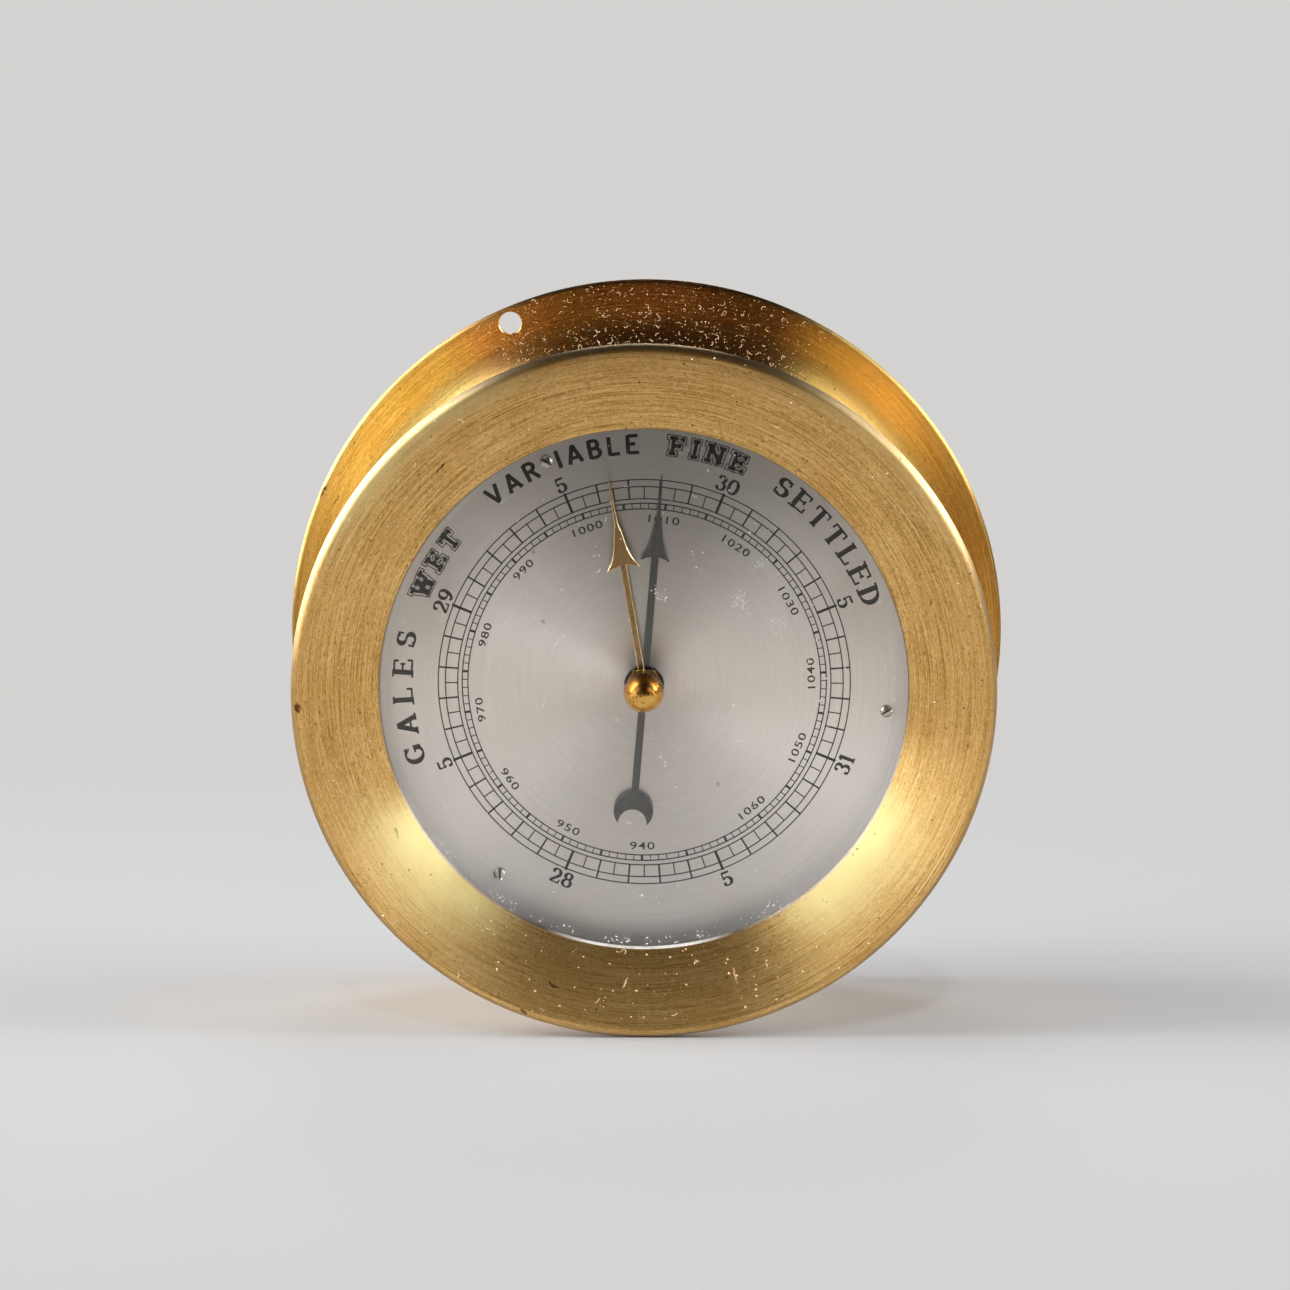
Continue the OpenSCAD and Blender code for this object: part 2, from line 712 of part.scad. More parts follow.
// Cast bridge beside the capsule: a foot, an upright and a pad for the leaf spring
module spring_bridge() {
    upright_t = 3.2;
    foot_t = 2;
    pad_t = 2.6;
    pad_z = spring_z - pad_t;
    inner_x = bridge_out + upright_t;
    color(brass) place() difference() {
        translate([0, bridge_w / 2, 0]) rotate([90, 0, 0]) linear_extrude(bridge_w) polygon([
            [bridge_out, base_top], [bridge_in, base_top], [bridge_in, base_top + foot_t],
            [inner_x + 1.2, base_top + foot_t], [inner_x, base_top + foot_t + 1.2],
            [inner_x, pad_z - 1.6], [inner_x + 1.6, pad_z], [bridge_in, pad_z],
            [bridge_in, spring_z], [bridge_out, spring_z]]);
        translate([bridge_out - 1, 0, (base_top + foot_t + pad_z) / 2]) rotate([0, 90, 0])
            cylinder(r = 2.6, h = upright_t + 4);
        at_each(bridge_feet) disc(bridge_screw_r + run_fit, 0, base_top + foot_t + 1);
        at_each([adjust_at]) disc(adjust_tip_r + 0.3, 0, base_top + 0.8);
        at_each(clamp_points) disc(train_screw_r + run_fit, spring_z - 2.2, dial_z);
    }
}

// Screws up through the base plate into the bridge's foot
module bridge_screws() {
    color(steel) place() at_each(bridge_feet) translate([0, 0, base_z]) mirror([0, 0, 1])
        screw(2.1, 1.3, bridge_screw_r, base_t + 1.8, 0.6);
}

module spring_clamp() {
    color(pale_brass) place() difference() {
        translate([bridge_out + 0.5, -11, lever_z]) cube([bridge_len - 1, 22, clamp_t]);
        at_each(clamp_points) disc(train_screw_r + slip_fit, 0, dial_z);
    }
}

module clamp_screws() {
    color(steel) place() at_each(clamp_points) translate([0, 0, lever_z + clamp_t])
        screw(2.2, 0.8, train_screw_r, spring_t + clamp_t + 2, 0.6);
}

// Main lever: a long tapered bar with two ears for the link's pin
module main_lever() {
    ear_in = 0.6;
    ear_t = 0.9;
    color(brass) place() difference() {
        union() {
            translate([0, 0, lever_z]) linear_extrude(lever_t) polygon([[capsule_x - 6.5, -3.6],
                [capsule_x + 6.5, -3.6], [lever_end, -1.9], [lever_end, 1.9], [capsule_x + 6.5, 3.6],
                [capsule_x - 6.5, 3.6]]);
            for (y = [ear_in, -ear_in - ear_t]) translate([link_x, y, 0]) {
                translate([-1.2, 0, link_top_z]) cube([2.4, ear_t, lever_z - link_top_z + 0.1]);
                translate([0, ear_t, link_top_z]) rotate([90, 0, 0]) cylinder(r = 1.2, h = ear_t);
            }
        }
        translate([capsule_x, 0, 0]) disc(2.2, 0, dial_z);
        translate([link_x, 5, link_top_z]) rotate([90, 0, 0]) cylinder(r = pin_r, h = 10);
        at_each(rivet_points) disc(rivet_r, 0, dial_z);
    }
}

// Steel strip under the lever, which bends it with warmth
module compensation_strip() {
    color(dark_steel) place() translate([capsule_x + 7.6, -1.9, spring_z + 0.3])
        cube([link_x - 2 - capsule_x - 7.6, 3.8, lever_z - spring_z - 0.3]);
}

module lever_rivets() {
    head_r = rivet_r + 0.5;
    head_h = 0.4;
    color(steel) place() at_each(rivet_points) {
        disc(rivet_r, spring_z, lever_z + lever_t);
        disc(head_r, spring_z - head_h, spring_z);
        disc(head_r, lever_z + lever_t, lever_z + lever_t + head_h);
    }
}

// Flat link with an eye at each end
module link_rod() {
    t = 0.9;
    color(steel) place() translate([link_x, t / 2, 0]) rotate([90, 0, 0]) difference() {
        union() {
            for (z = [rock_z, link_top_z]) translate([0, z, 0]) cylinder(r = 1.1, h = t);
            translate([-0.6, rock_z, 0]) cube([1.2, link_top_z - rock_z, t]);
        }
        translate([0, link_top_z, -1]) cylinder(r = pin_r + run_fit, h = t + 2);
        translate([0, rock_z, -1]) cylinder(r = pin_r + pin_play, h = t + 2);
    }
}

// A pin across the mechanism, along y
module cross_pin(x, z, y0, y1, r) {
    translate([x, y1, z]) rotate([90, 0, 0]) cylinder(r = r, h = y1 - y0);
}

module link_upper_pin() {
    color(dark_steel) place() cross_pin(link_x, link_top_z, -1.7, 1.7, pin_r);
}

module link_lower_pin() {
    color(dark_steel) place() cross_pin(link_x, rock_z, -0.8, 1.9, pin_r);
}

// Rocking shaft: a short arm for the link, and a long arm whose peg guides the sector's fork
module rock_shaft() {
    x = rock_at[0];
    arm_y = rock_at[1];
    arm_top = sector_z - 0.9;
    color(steel) place() difference() {
        union() {
            cross_pin(x, rock_z, rock_low + 0.1, rock_high - 0.1, rock_r);
            cross_pin(x, rock_z, rock_low - bracket_t + 0.1, rock_high + bracket_t - 0.1, rock_pivot_r);
            cross_pin(x, rock_z, 0.6, 1.8, 2);
            cross_pin(link_x, rock_z, 0.6, 1.8, 1.2);
            translate([link_x, 0.6, rock_z - 1]) cube([short_arm, 1.2, 2]);
            cross_pin(x, rock_z, arm_y - 0.9, arm_y + 0.9, 2.2);
            translate([x, arm_y + 0.6, 0]) rotate([90, 0, 0]) linear_extrude(1.2)
                polygon([[-1.7, rock_z], [1.7, rock_z], [0.9, arm_top], [-0.9, arm_top]]);
            translate([x, arm_y, 0]) disc(guide_r, arm_top - 0.3, sector_z + sector_w + 0.9);
        }
        cross_pin(link_x, rock_z, 0, 3, pin_r);
    }
}

// Two angle brackets for the rocking shaft's pivots
module rock_brackets() {
    x = rock_at[0];
    color(brass) place() for (side = [0, 1]) {
        y0 = side == 0 ? rock_low - bracket_t : rock_high;
        foot_y = side == 0 ? rock_low - bracket_t - 4.6 : rock_high;
        difference() {
            union() {
                translate([x - 3, y0, base_top]) cube([6, bracket_t, rock_z - base_top]);
                cross_pin(x, rock_z, y0, y0 + bracket_t, 3);
                translate([x - 3, foot_y, base_top]) cube([10, bracket_t + 4.6, bracket_t]);
            }
            cross_pin(x, rock_z, y0 - 1, y0 + bracket_t + 1, rock_pivot_r + run_fit);
            at_each([bracket_feet[side]]) disc(bracket_screw_r + slip_fit, 0, base_top + 3);
        }
    }
}

module bracket_screws() {
    color(steel) place() at_each(bracket_feet) translate([0, 0, base_top + bracket_t])
        screw(1.7, 1, bracket_screw_r, base_t + bracket_t, 0.5);
}

// Threaded bush in the base plate for the adjusting screw
module adjusting_bush() {
    color(pale_brass) place() at_each([adjust_at]) difference() {
        union() {
            disc(bush_body_r, base_z, base_top);
            disc(bush_body_r + 1.2, base_z - 3, base_z);
        }
        disc(adjust_r + run_fit, 0, dial_z);
    }
}

// Adjusting screw, turned through the hole in the back cover
module adjusting_screw() {
    head_z = base_z - 6.4;
    color(steel) place() at_each([adjust_at]) difference() {
        union() {
            disc(adjust_head_r, head_z, head_z + 2.4);
            disc(adjust_r, head_z + 2.3, base_top - 0.1);
            disc(adjust_tip_r, base_top - 0.3, base_top + 0.5);
        }
        translate([-4, -0.4, head_z - 1]) cube([8, 0.8, 2]);
    }
}

case_shell();
seat_ring();
back_cover();
back_screws();
bezel();
glass();
glass_gasket();
sight_ring();
dial();
dial_pillars();
dial_screws();
knob();
knob_spindle();
knob_bush();
bush_nut();
spring_washer();
set_hand();
pointer();
pointer_hub();
pointer_arbor();
hairspring();
hairspring_collet();
hairspring_stud();
sector_gear();
sector_arbor();
top_bridge();
train_pillars();
train_screws();
train_plate();
frame_pillars();
base_plate();
base_posts();
base_screws();
post_screws();
capsule();
capsule_foot();
capsule_stud();
stud_key();
main_spring();
spring_bridge();
bridge_screws();
spring_clamp();
clamp_screws();
main_lever();
compensation_strip();
lever_rivets();
link_rod();
link_upper_pin();
link_lower_pin();
rock_shaft();
rock_brackets();
bracket_screws();
adjusting_bush();
adjusting_screw();
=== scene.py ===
import math
from functools import reduce

import bmesh
import bpy
import numpy as np
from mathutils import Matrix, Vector


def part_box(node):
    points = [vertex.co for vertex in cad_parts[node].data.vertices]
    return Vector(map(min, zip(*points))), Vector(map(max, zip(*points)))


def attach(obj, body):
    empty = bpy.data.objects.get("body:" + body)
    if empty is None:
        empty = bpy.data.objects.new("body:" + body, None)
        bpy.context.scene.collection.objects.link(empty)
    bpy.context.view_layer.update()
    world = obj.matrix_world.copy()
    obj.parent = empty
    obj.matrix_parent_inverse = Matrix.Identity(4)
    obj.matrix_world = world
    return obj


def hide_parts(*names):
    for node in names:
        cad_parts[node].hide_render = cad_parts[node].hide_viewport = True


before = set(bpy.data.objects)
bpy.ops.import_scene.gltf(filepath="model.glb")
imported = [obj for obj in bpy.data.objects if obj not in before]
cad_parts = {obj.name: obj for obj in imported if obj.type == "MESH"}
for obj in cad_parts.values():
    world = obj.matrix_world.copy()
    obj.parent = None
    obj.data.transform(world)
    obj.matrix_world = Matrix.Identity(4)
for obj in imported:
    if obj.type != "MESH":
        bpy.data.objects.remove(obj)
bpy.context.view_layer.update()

mm = 0.001
fullTurn = 2 * math.pi
rng = np.random.default_rng(17)
scene = bpy.context.scene


# Heights are counted out of the wall, along -Y, as on the turner's bench. All three are in mm
def frontOf(node):
    return -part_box(node)[0].y / mm


def backOf(node):
    return -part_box(node)[1].y / mm


def radiusOf(node):
    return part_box(node)[1].x / mm


print("frame loaded:", len(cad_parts), "nodes")


# A point at radius r, angle a clockwise from the top as the dial is read, and height h:
# x = r sin a, y = -h, z = r cos a
def polar(r, a, h):
    r, a, h = np.broadcast_arrays(np.asarray(r, float), np.asarray(a, float), np.asarray(h, float))
    return np.stack([r * np.sin(a), -h, r * np.cos(a)], axis=-1)


# A profile of (radius, height) carried round the axis in even steps: polar of each point and angle
def spin(profile, columns):
    angles = np.linspace(0, fullTurn, columns, endpoint=False)
    return polar(profile[:, :1], angles[None], profile[:, 1:]).reshape(-1, 3)


# The four-sided cells between the rows of a grid of point numbers. The columns close on
# themselves, and the rows do so too where loop is set
def gridCells(index, loop=False):
    near, far = (index, np.roll(index, -1, axis=0)) if loop else (index[:-1], index[1:])
    return np.stack([near, np.roll(near, -1, axis=1), np.roll(far, -1, axis=1), far], axis=-1)


# Turns a closed mesh outwards by the sign of its volume: the sum over fan triangles of p0 . (p1 x p2)
def turnOutward(points, faces):
    total = 0.0
    for group in faces:
        for k in range(1, group.shape[1] - 1):
            a, b, c = points[group[:, 0]], points[group[:, k]], points[group[:, k + 1]]
            total += np.einsum("ij,ij->", a, np.cross(b, c))
    return faces if total > 0 else [group[:, ::-1] for group in faces]


# Hangs a mesh in the scene as a piece that rides on a body
def addPiece(name, mesh, material, body, replaces=()):
    mesh.materials.append(material)
    piece = bpy.data.objects.new(name, mesh)
    scene.collection.objects.link(piece)
    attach(piece, body)
    if replaces:
        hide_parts(*replaces)
    return piece


# Makes a piece of arrays of points and faces. Sharp holds the row of each point, and for each row
# whether the edges along it are hard
def makePiece(name, points, faces, material, body, replaces=(), sharp=None, smooth=True):
    mesh = bpy.data.meshes.new(name)
    faces = turnOutward(points, faces)
    mesh.from_pydata(points.tolist(), [], [face for group in faces for face in group.tolist()])
    mesh.polygons.foreach_set("use_smooth", np.full(len(mesh.polygons), smooth))
    if sharp is not None:
        row, hard = sharp
        ends = np.zeros(len(mesh.edges) * 2, int)
        mesh.edges.foreach_get("vertices", ends)
        start, end = row[ends.reshape(-1, 2)].T
        edges = mesh.attributes.new("sharp_edge", "BOOLEAN", "EDGE")
        edges.data.foreach_set("value", (start == end) & hard[start])
    mesh.update()
    return addPiece(name, mesh, material, body, replaces)


# An arc of a profile: centre + radius (cos t, sin t), t from one angle to the other
def arc(centre, radius, start, end, steps):
    t = np.radians(np.linspace(start, end, steps + 1))
    return np.stack([centre[0] + radius * np.cos(t), centre[1] + radius * np.sin(t)], axis=1)


# Rounds the corners of a closed profile. Each corner that turns by the least angle or more becomes an
# arc that touches both sides, with one more point before and after it to keep the long sides flat
def soften(profile, radius, steps=4, least=25, spare=1.25):
    profile = np.asarray(profile, float)
    mostArc, mostSpare = 0.45, 0.49  # shares of a side that an arc and its spare point may take
    out = []
    for p, a, b in zip(profile, np.roll(profile, 1, axis=0), np.roll(profile, -1, axis=0)):
        u, v = a - p, b - p
        lu, lv = np.hypot(*u), np.hypot(*v)
        turn = 180 - math.degrees(math.acos(np.clip(u @ v / (lu * lv), -1, 1)))
        if turn < least:
            out.append([p])
            continue
        u, v = u / lu, v / lv
        half = math.acos(np.clip(u @ v, -1, 1)) / 2
        reach = min(radius / math.tan(half), mostArc * lu, mostArc * lv)
        r = reach * math.tan(half)
        centre = p + (u + v) / np.hypot(*(u + v)) * r / math.sin(half)
        t0 = math.atan2(*(p + u * reach - centre)[::-1])
        t1 = math.atan2(*(p + v * reach - centre)[::-1])
        t1 = t0 + (t1 - t0 + math.pi) % fullTurn - math.pi
        t = np.linspace(t0, t1, steps + 1)
        bend = centre + r * np.stack([np.cos(t), np.sin(t)], axis=1)
        out.append(np.vstack([p + u * min(reach * spare, mostSpare * lu), bend,
                              p + v * min(reach * spare, mostSpare * lv)]))
    return np.vstack(out)


# Carries a profile of (radius, height) round the dial's axis. Rows run along the profile and columns
# round the axis. A profile that begins and ends on the axis is closed by two poles, and rows where it
# bends by more than the hard angle get hard edges
def lathe(name, profile, columns, material, body, replaces=(), hardAngle=38):
    profile = np.asarray(profile, float)
    onAxis = profile[:, 0] < 1e-9
    loop = not onAxis.any()
    ring = profile[~onAxis]
    rows = len(ring)
    points = spin(ring, columns)
    index = np.arange(rows * columns).reshape(rows, columns)
    faces = [gridCells(index, loop).reshape(-1, 4)]
    rowOf = np.repeat(np.arange(rows), columns)
    if not loop:
        points = np.vstack([points, polar(0, 0, profile[onAxis][:, 1])])
        first, last, start, end = rows * columns, rows * columns + 1, index[0], index[-1]
        faces += [np.stack([np.full(columns, first), np.roll(start, -1), start], axis=1),
                  np.stack([np.full(columns, last), end, np.roll(end, -1)], axis=1)]
        rowOf = np.append(rowOf, [rows, rows + 1])
    d = np.roll(profile, -1, axis=0) - profile
    heading = np.arctan2(d[:, 1], d[:, 0])
    bend = np.abs((heading - np.roll(heading, 1) + math.pi) % fullTurn - math.pi)
    hard = bend > math.radians(hardAngle)
    hard = np.append(hard if loop else hard[1:rows + 1], [False, False])
    return makePiece(name, points, faces, material, body, replaces, (rowOf, hard))


# Node work. The first socket among some values says which tree they belong to
def treeOf(*values):
    return next(value.id_data for value in values if isinstance(value, bpy.types.NodeSocket))


# Feeds a node's inputs: a socket is linked, and anything else is set as a plain value
def feed(node, inputs):
    for key, value in inputs.items():
        if isinstance(value, bpy.types.NodeSocket):
            node.id_data.links.new(value, node.inputs[key])
        else:
            node.inputs[key].default_value = value
    return node


# Adds a node, sets its properties and feeds its inputs
def put(tree, kind, inputs=None, **properties):
    node = tree.nodes.new("ShaderNode" + kind)
    for key, value in properties.items():
        setattr(node, key, value)
    return feed(node, inputs or {})


# One step of reckoning with two values, then sums and products of many, taken from the left
def math2(operation, a, b=0.0, clamp=False):
    return put(treeOf(a, b), "Math", {0: a, 1: b}, operation=operation, use_clamp=clamp).outputs[0]


def plus(*terms):
    return reduce(lambda a, b: math2("ADD", a, b), terms)


def times(*factors):
    return reduce(lambda a, b: math2("MULTIPLY", a, b), factors)


# One step with vectors, a vector times a number, its three parts, and noise at a vector
def vector2(operation, a, b=(0, 0, 0)):
    node = put(treeOf(a, b), "VectorMath", {0: a, 1: b}, operation=operation)
    return node.outputs["Value" if operation in ("LENGTH", "DOT_PRODUCT") else "Vector"]


def scaled(vector, factor):
    return put(vector.id_data, "VectorMath", {0: vector, 3: factor}, operation="SCALE").outputs[0]


def axes(vector):
    return put(vector.id_data, "SeparateXYZ", {0: vector}).outputs


def noise(vector, scale, detail, roughness=0.5, output=0):
    return put(vector.id_data, "TexNoise", {"Vector": vector, "Scale": scale, "Detail": detail,
                                            "Roughness": roughness}).outputs[output]


# A value carried from one span to another and held at its ends
def ramp(value, low, high, outLow=0.0, outHigh=1.0):
    return put(value.id_data, "MapRange", {"Value": value, "From Min": low, "From Max": high,
                                           "To Min": outLow, "To Max": outHigh}).outputs[0]


# Lays a tone over a colour by a share
def paint(share, colour, tone, mode="MIX"):
    colours = [c if isinstance(c, bpy.types.NodeSocket) else (*c[:3], 1.0) for c in (colour, tone)]
    return put(treeOf(share), "Mix", {0: share, 6: colours[0], 7: colours[1]}, data_type="RGBA",
               blend_type=mode, clamp_factor=True).outputs[2]


# A tone made darker or paler: each channel times its share, plus a lift, and 1 at the most
def tint(tone, share, lift=0.0):
    shares = share if isinstance(share, tuple) else (share,) * 3
    return tuple(min(1.0, c * k + lift) for c, k in zip(tone, shares))


# A normal from a height, with its full depth in metres
def bumpFrom(height, distance, strength=1.0):
    return put(height.id_data, "Bump", {"Height": height, "Distance": distance,
                                        "Strength": strength}).outputs[0]


# Two shaders mixed by a share of the second
def mixShader(share, first, second):
    return put(treeOf(share), "MixShader", {0: share, 1: first.outputs[0], 2: second.outputs[0]})


# A material with its shader, its output and the position on the piece
def newMaterial(name):
    material = bpy.data.materials.new(name)
    material.use_nodes = True
    tree = material.node_tree
    tree.nodes.clear()
    shader = put(tree, "BsdfPrincipled")
    output = put(tree, "OutputMaterial", {0: shader.outputs[0]})
    return material, shader, output, put(tree, "TexCoord").outputs["Object"]


# A group that takes a position and numbers with their usual values, and gives masks
def newGroup(name, numbers, masks):
    group = bpy.data.node_groups.new(name, "ShaderNodeTree")
    group.interface.new_socket("Position", in_out="INPUT", socket_type="NodeSocketVector")
    for label, value in numbers.items():
        socket = group.interface.new_socket(label, in_out="INPUT", socket_type="NodeSocketFloat")
        socket.default_value = value
    for label in masks:
        group.interface.new_socket(label, in_out="OUTPUT", socket_type="NodeSocketFloat")
    return group, group.nodes.new("NodeGroupInput").outputs, group.nodes.new("NodeGroupOutput")


# Places a group, with its numbers in the order of its inputs
def useGroup(group, position, *numbers):
    node = put(position.id_data, "Group", node_tree=group)
    return feed(node, {0: position, **{k + 1: number for k, number in enumerate(numbers)}}).outputs


# Lathe lines round the dial's axis: noise over (radius + part of the height) / line width, and
# over the unit direction times the number of arcs, so a line is long round the axis and thin
# across. Streaks are the same with shorter arcs, bands are wider, and grain has no direction
def buildLatheLines():
    group, given, result = newGroup("latheLines", {"Line Width": 0.0005, "Arcs": 5.0},
                                    ("Lines", "Streaks", "Bands", "Grain"))
    position, width, arcs = given["Position"], given["Line Width"], given["Arcs"]
    heightShare, grainShare = 0.77, 0.55
    flat = vector2("MULTIPLY", position, (1, 0, 1))
    across = math2("DIVIDE", plus(vector2("LENGTH", flat), times(axes(position)[1], heightShare)), width)
    unit = axes(vector2("NORMALIZE", flat))
    for label, wide, short, detail in (("Lines", 1.0, 1.0, 3.0), ("Streaks", 0.4, 1.6, 4.0),
                                       ("Bands", 0.07, 0.8, 2.0)):
        at = put(group, "CombineXYZ", {0: times(across, wide), 1: times(unit[0], times(arcs, short)),
                                       2: times(unit[2], times(arcs, short))}).outputs[0]
        feed(result, {label: noise(at, 1.0, detail, 0.65)})
    feed(result, {"Grain": noise(scaled(position, math2("DIVIDE", grainShare, width)), 1.0, 1.0)})
    return group


# Tarnish: a cloud of noise cut at a level, and small pits where cells of a second pattern are close
def buildTarnish():
    group, given, result = newGroup("tarnish", {"Cloud Size": 0.012, "Pit Size": 0.00042,
                                                "Pit Share": 0.12}, ("Cloud", "Pits"))
    cloudAt, pitAt = [scaled(given["Position"], math2("DIVIDE", 1.0, given[size]))
                      for size in ("Cloud Size", "Pit Size")]
    cellScale, pitSpan, cloudSpan = 0.35, (0.34, 0.16), (0.42, 0.7)
    cells = put(group, "TexVoronoi", {"Vector": pitAt, "Scale": cellScale}, feature="F1").outputs
    chosen = math2("LESS_THAN", axes(cells["Color"])[0], given["Pit Share"])
    near = ramp(cells["Distance"], *pitSpan)
    feed(result, {"Cloud": ramp(noise(cloudAt, 1.0, 6.0, 0.62), *cloudSpan),
                  "Pits": math2("MULTIPLY", near, chosen, True)})
    return group


# Handling marks: fine stray scratches, where a strongly stretched noise passes a high level
def buildHandling():
    group, given, result = newGroup("handling", {"Turn": 0.6, "Amount": 0.5}, ("Scratches",))
    tilt, stretch, highest, drop, steepness = (0.2, 1.0, 0.1), (2600, 900, 130), 0.86, 0.16, 16.0
    turned = put(group, "VectorRotate", {"Vector": given["Position"], "Axis": tilt,
                                         "Angle": given["Turn"]}).outputs[0]
    level = math2("SUBTRACT", highest, times(given["Amount"], drop))
    over = math2("SUBTRACT", noise(vector2("MULTIPLY", turned, stretch), 1.0, 1.0), level)
    feed(result, {"Scratches": math2("MULTIPLY", over, steepness, True)})
    return group


latheLines, tarnish, handling = buildLatheLines(), buildTarnish(), buildHandling()
noiseSpan = (0.3, 0.7)  # noise mostly lies between these
markEdge = (1.25, 0.6)  # a mark begins and is full at these shares of its half lengths


# Clouds, pits and scratches of a finish, with sizes in metres
def wearAt(position, look):
    stain = useGroup(tarnish, position, look["cloudSize"], look["pitSize"], look["pitShare"])
    marks = useGroup(handling, position, look["scratchTurn"], look["scratches"])
    return stain["Cloud"], stain["Pits"], marks["Scratches"]


# Distance from the dial's axis and the direction away from it
def awayFromAxis(position):
    flat = vector2("MULTIPLY", position, (1, 0, 1))
    return vector2("LENGTH", flat), vector2("NORMALIZE", flat)


# Direction across the lathe's cut, in world space: the cut runs along axis x position, and the
# surface normal crossed with it lies in the surface at right angles to the lines
def acrossCut(position):
    tree = position.id_data
    cut = vector2("CROSS_PRODUCT", position, (0, 1, 0))
    across = vector2("CROSS_PRODUCT", put(tree, "TexCoord").outputs["Normal"], cut)
    return put(tree, "VectorTransform", {0: vector2("NORMALIZE", across)}, vector_type="VECTOR",
               convert_from="OBJECT", convert_to="WORLD").outputs[0]


# How far the direction from the dial's axis agrees with a turn: 1 along it, less to the sides
def turnMask(unit, turn, low, high):
    t = math.radians(turn)
    return ramp(vector2("DOT_PRODUCT", unit, (math.sin(t), 0, math.cos(t))), low, high)


# A mark on the metal: 1 inside an ellipse about (x, z) with two half lengths, turned by an angle
def markMask(position, mark):
    x, z, longWay, shortWay, angle = mark
    place = put(position.id_data, "Mapping", {
        "Vector": position, "Location": (x * mm, 0, z * mm), "Rotation": (0, -math.radians(angle), 0),
        "Scale": (longWay * mm, 1, shortWay * mm)}, vector_type="TEXTURE").outputs[0]
    return ramp(vector2("LENGTH", place), *markEdge)


# Painted light: places where a painted highlight or painted shade lies, each with a turn, dot product where
# it fades in and is full, radius likewise, tone and way of mixing.
# Marks: x, z, two half lengths in mm and an angle, then tone and share. Rings: dark lines painted as the
# shade of turned grooves, with radius, half width, turn and its dot products. Dashes are dark strokes of the
# brush and bright ones tinted as painted glints, lineShares says how much each kind of line counts, and
# breaks say at which noise a rim, a ring or dust is broken up
darkNick, redStain, paleFleck = (0.05, 0.025, 0.01), (0.34, 0.12, 0.045), (0.95, 0.60, 0.30)
brushLook = {"lineShares": {"Streaks": 1.2, "Lines": 2.3, "Grain": 1.1, "Bands": 0.4}, "arcs": 3.2,
             "dashWidth": 0.00036, "dashArcs": 55.0, "brightDash": (0.57, 0.69, 0.0, 0.75),
             "darkDash": (0.43, 0.3, 0.0, 0.7), "dashTint": 0.55, "cloudSize": 0.012,
             "stainTint": (0.88, 0.76, 0.62), "pitSize": 0.00033, "pitTone": (0.13, 0.05, 0.012),
             "pitFull": 0.75, "scratchTurn": 0.6, "scratches": 0.4, "scratchTone": (0.98, 0.85, 0.6),
             "scratchFull": 0.4, "rimBreaks": (0.3, 0.6, 0.45, 1.0), "grooveShadeTone": (0.16, 0.075, 0.02),
             "ringBreaks": (0.4, 0.6), "dustTone": (1.0, 0.95, 0.86), "dustTurn": (181, 0.93, 0.985),
             "dustBreaks": (0.9, 0.2, 0.5, 1.0), "wobble": 0.0016, "wobbleScale": 900.0,
             "roughAt": (1.95, 2.95), "roughTo": (1.12, 0.9), "hurtRough": 0.12, "hurtDepth": 0.6,
             "anisotropy": 0.93, "streakDepth": 0.6, "dashDepth": 0.9, "dustMetal": (0.0, 0.9, 1.0, 0.15),
             "placeBreaks": (0.0, 1.0, 1.0, 0.6), "ringFade": 0.4, "nose": None, "noseTone": None,
             "rings": ()}
caseLook = {
    **brushLook, "light": (0.92, 0.72, 0.25), "shade": (0.60, 0.385, 0.075), "roughness": 0.30,
    "lineWidth": 0.00016, "lineDepth": 0.000008, "contrast": (2.2, 2.8), "glint": (1.0, 0.78, 0.36),
    "pitShare": 0.01, "cloudShare": 0.35, "rim": (0.0788, 0.0806), "rimShare": 0.5,
    "rimTone": (0.2, 0.11, 0.045),
    # Painted light on the flange: painted shade darkens the top near 8, a painted highlight lies at 38, and
    # 337, 105 and 236 tint darker and more orange
    "paintedLight": ((8.0, 0.90, 0.965, 0.0, 0.001, (0.57, 0.41, 0.60), "MULTIPLY"),
               (38.0, 0.965, 1.02, 0.0, 0.001, (1.0, 0.62, 0.16), "MIX"),
               (337.0, 0.972, 0.995, 0.0, 0.001, (1.0, 0.77, 0.88), "MULTIPLY"),
               (105.0, 0.35, 0.85, 0.0, 0.001, (0.9, 0.7, 0.52), "MULTIPLY"),
               (236.0, 0.5, 0.9, 0.0, 0.001, (0.92, 0.76, 0.6), "MULTIPLY")),
    "marks": (((-73.2, 32.4, 1.7, 0.35, 63), darkNick, 0.9), ((-34.1, 64.2, 1.7, 0.9, 20), redStain, 0.5),
              ((-70.5, 30.0, 1.2, 0.25, 60), darkNick, 0.6))}
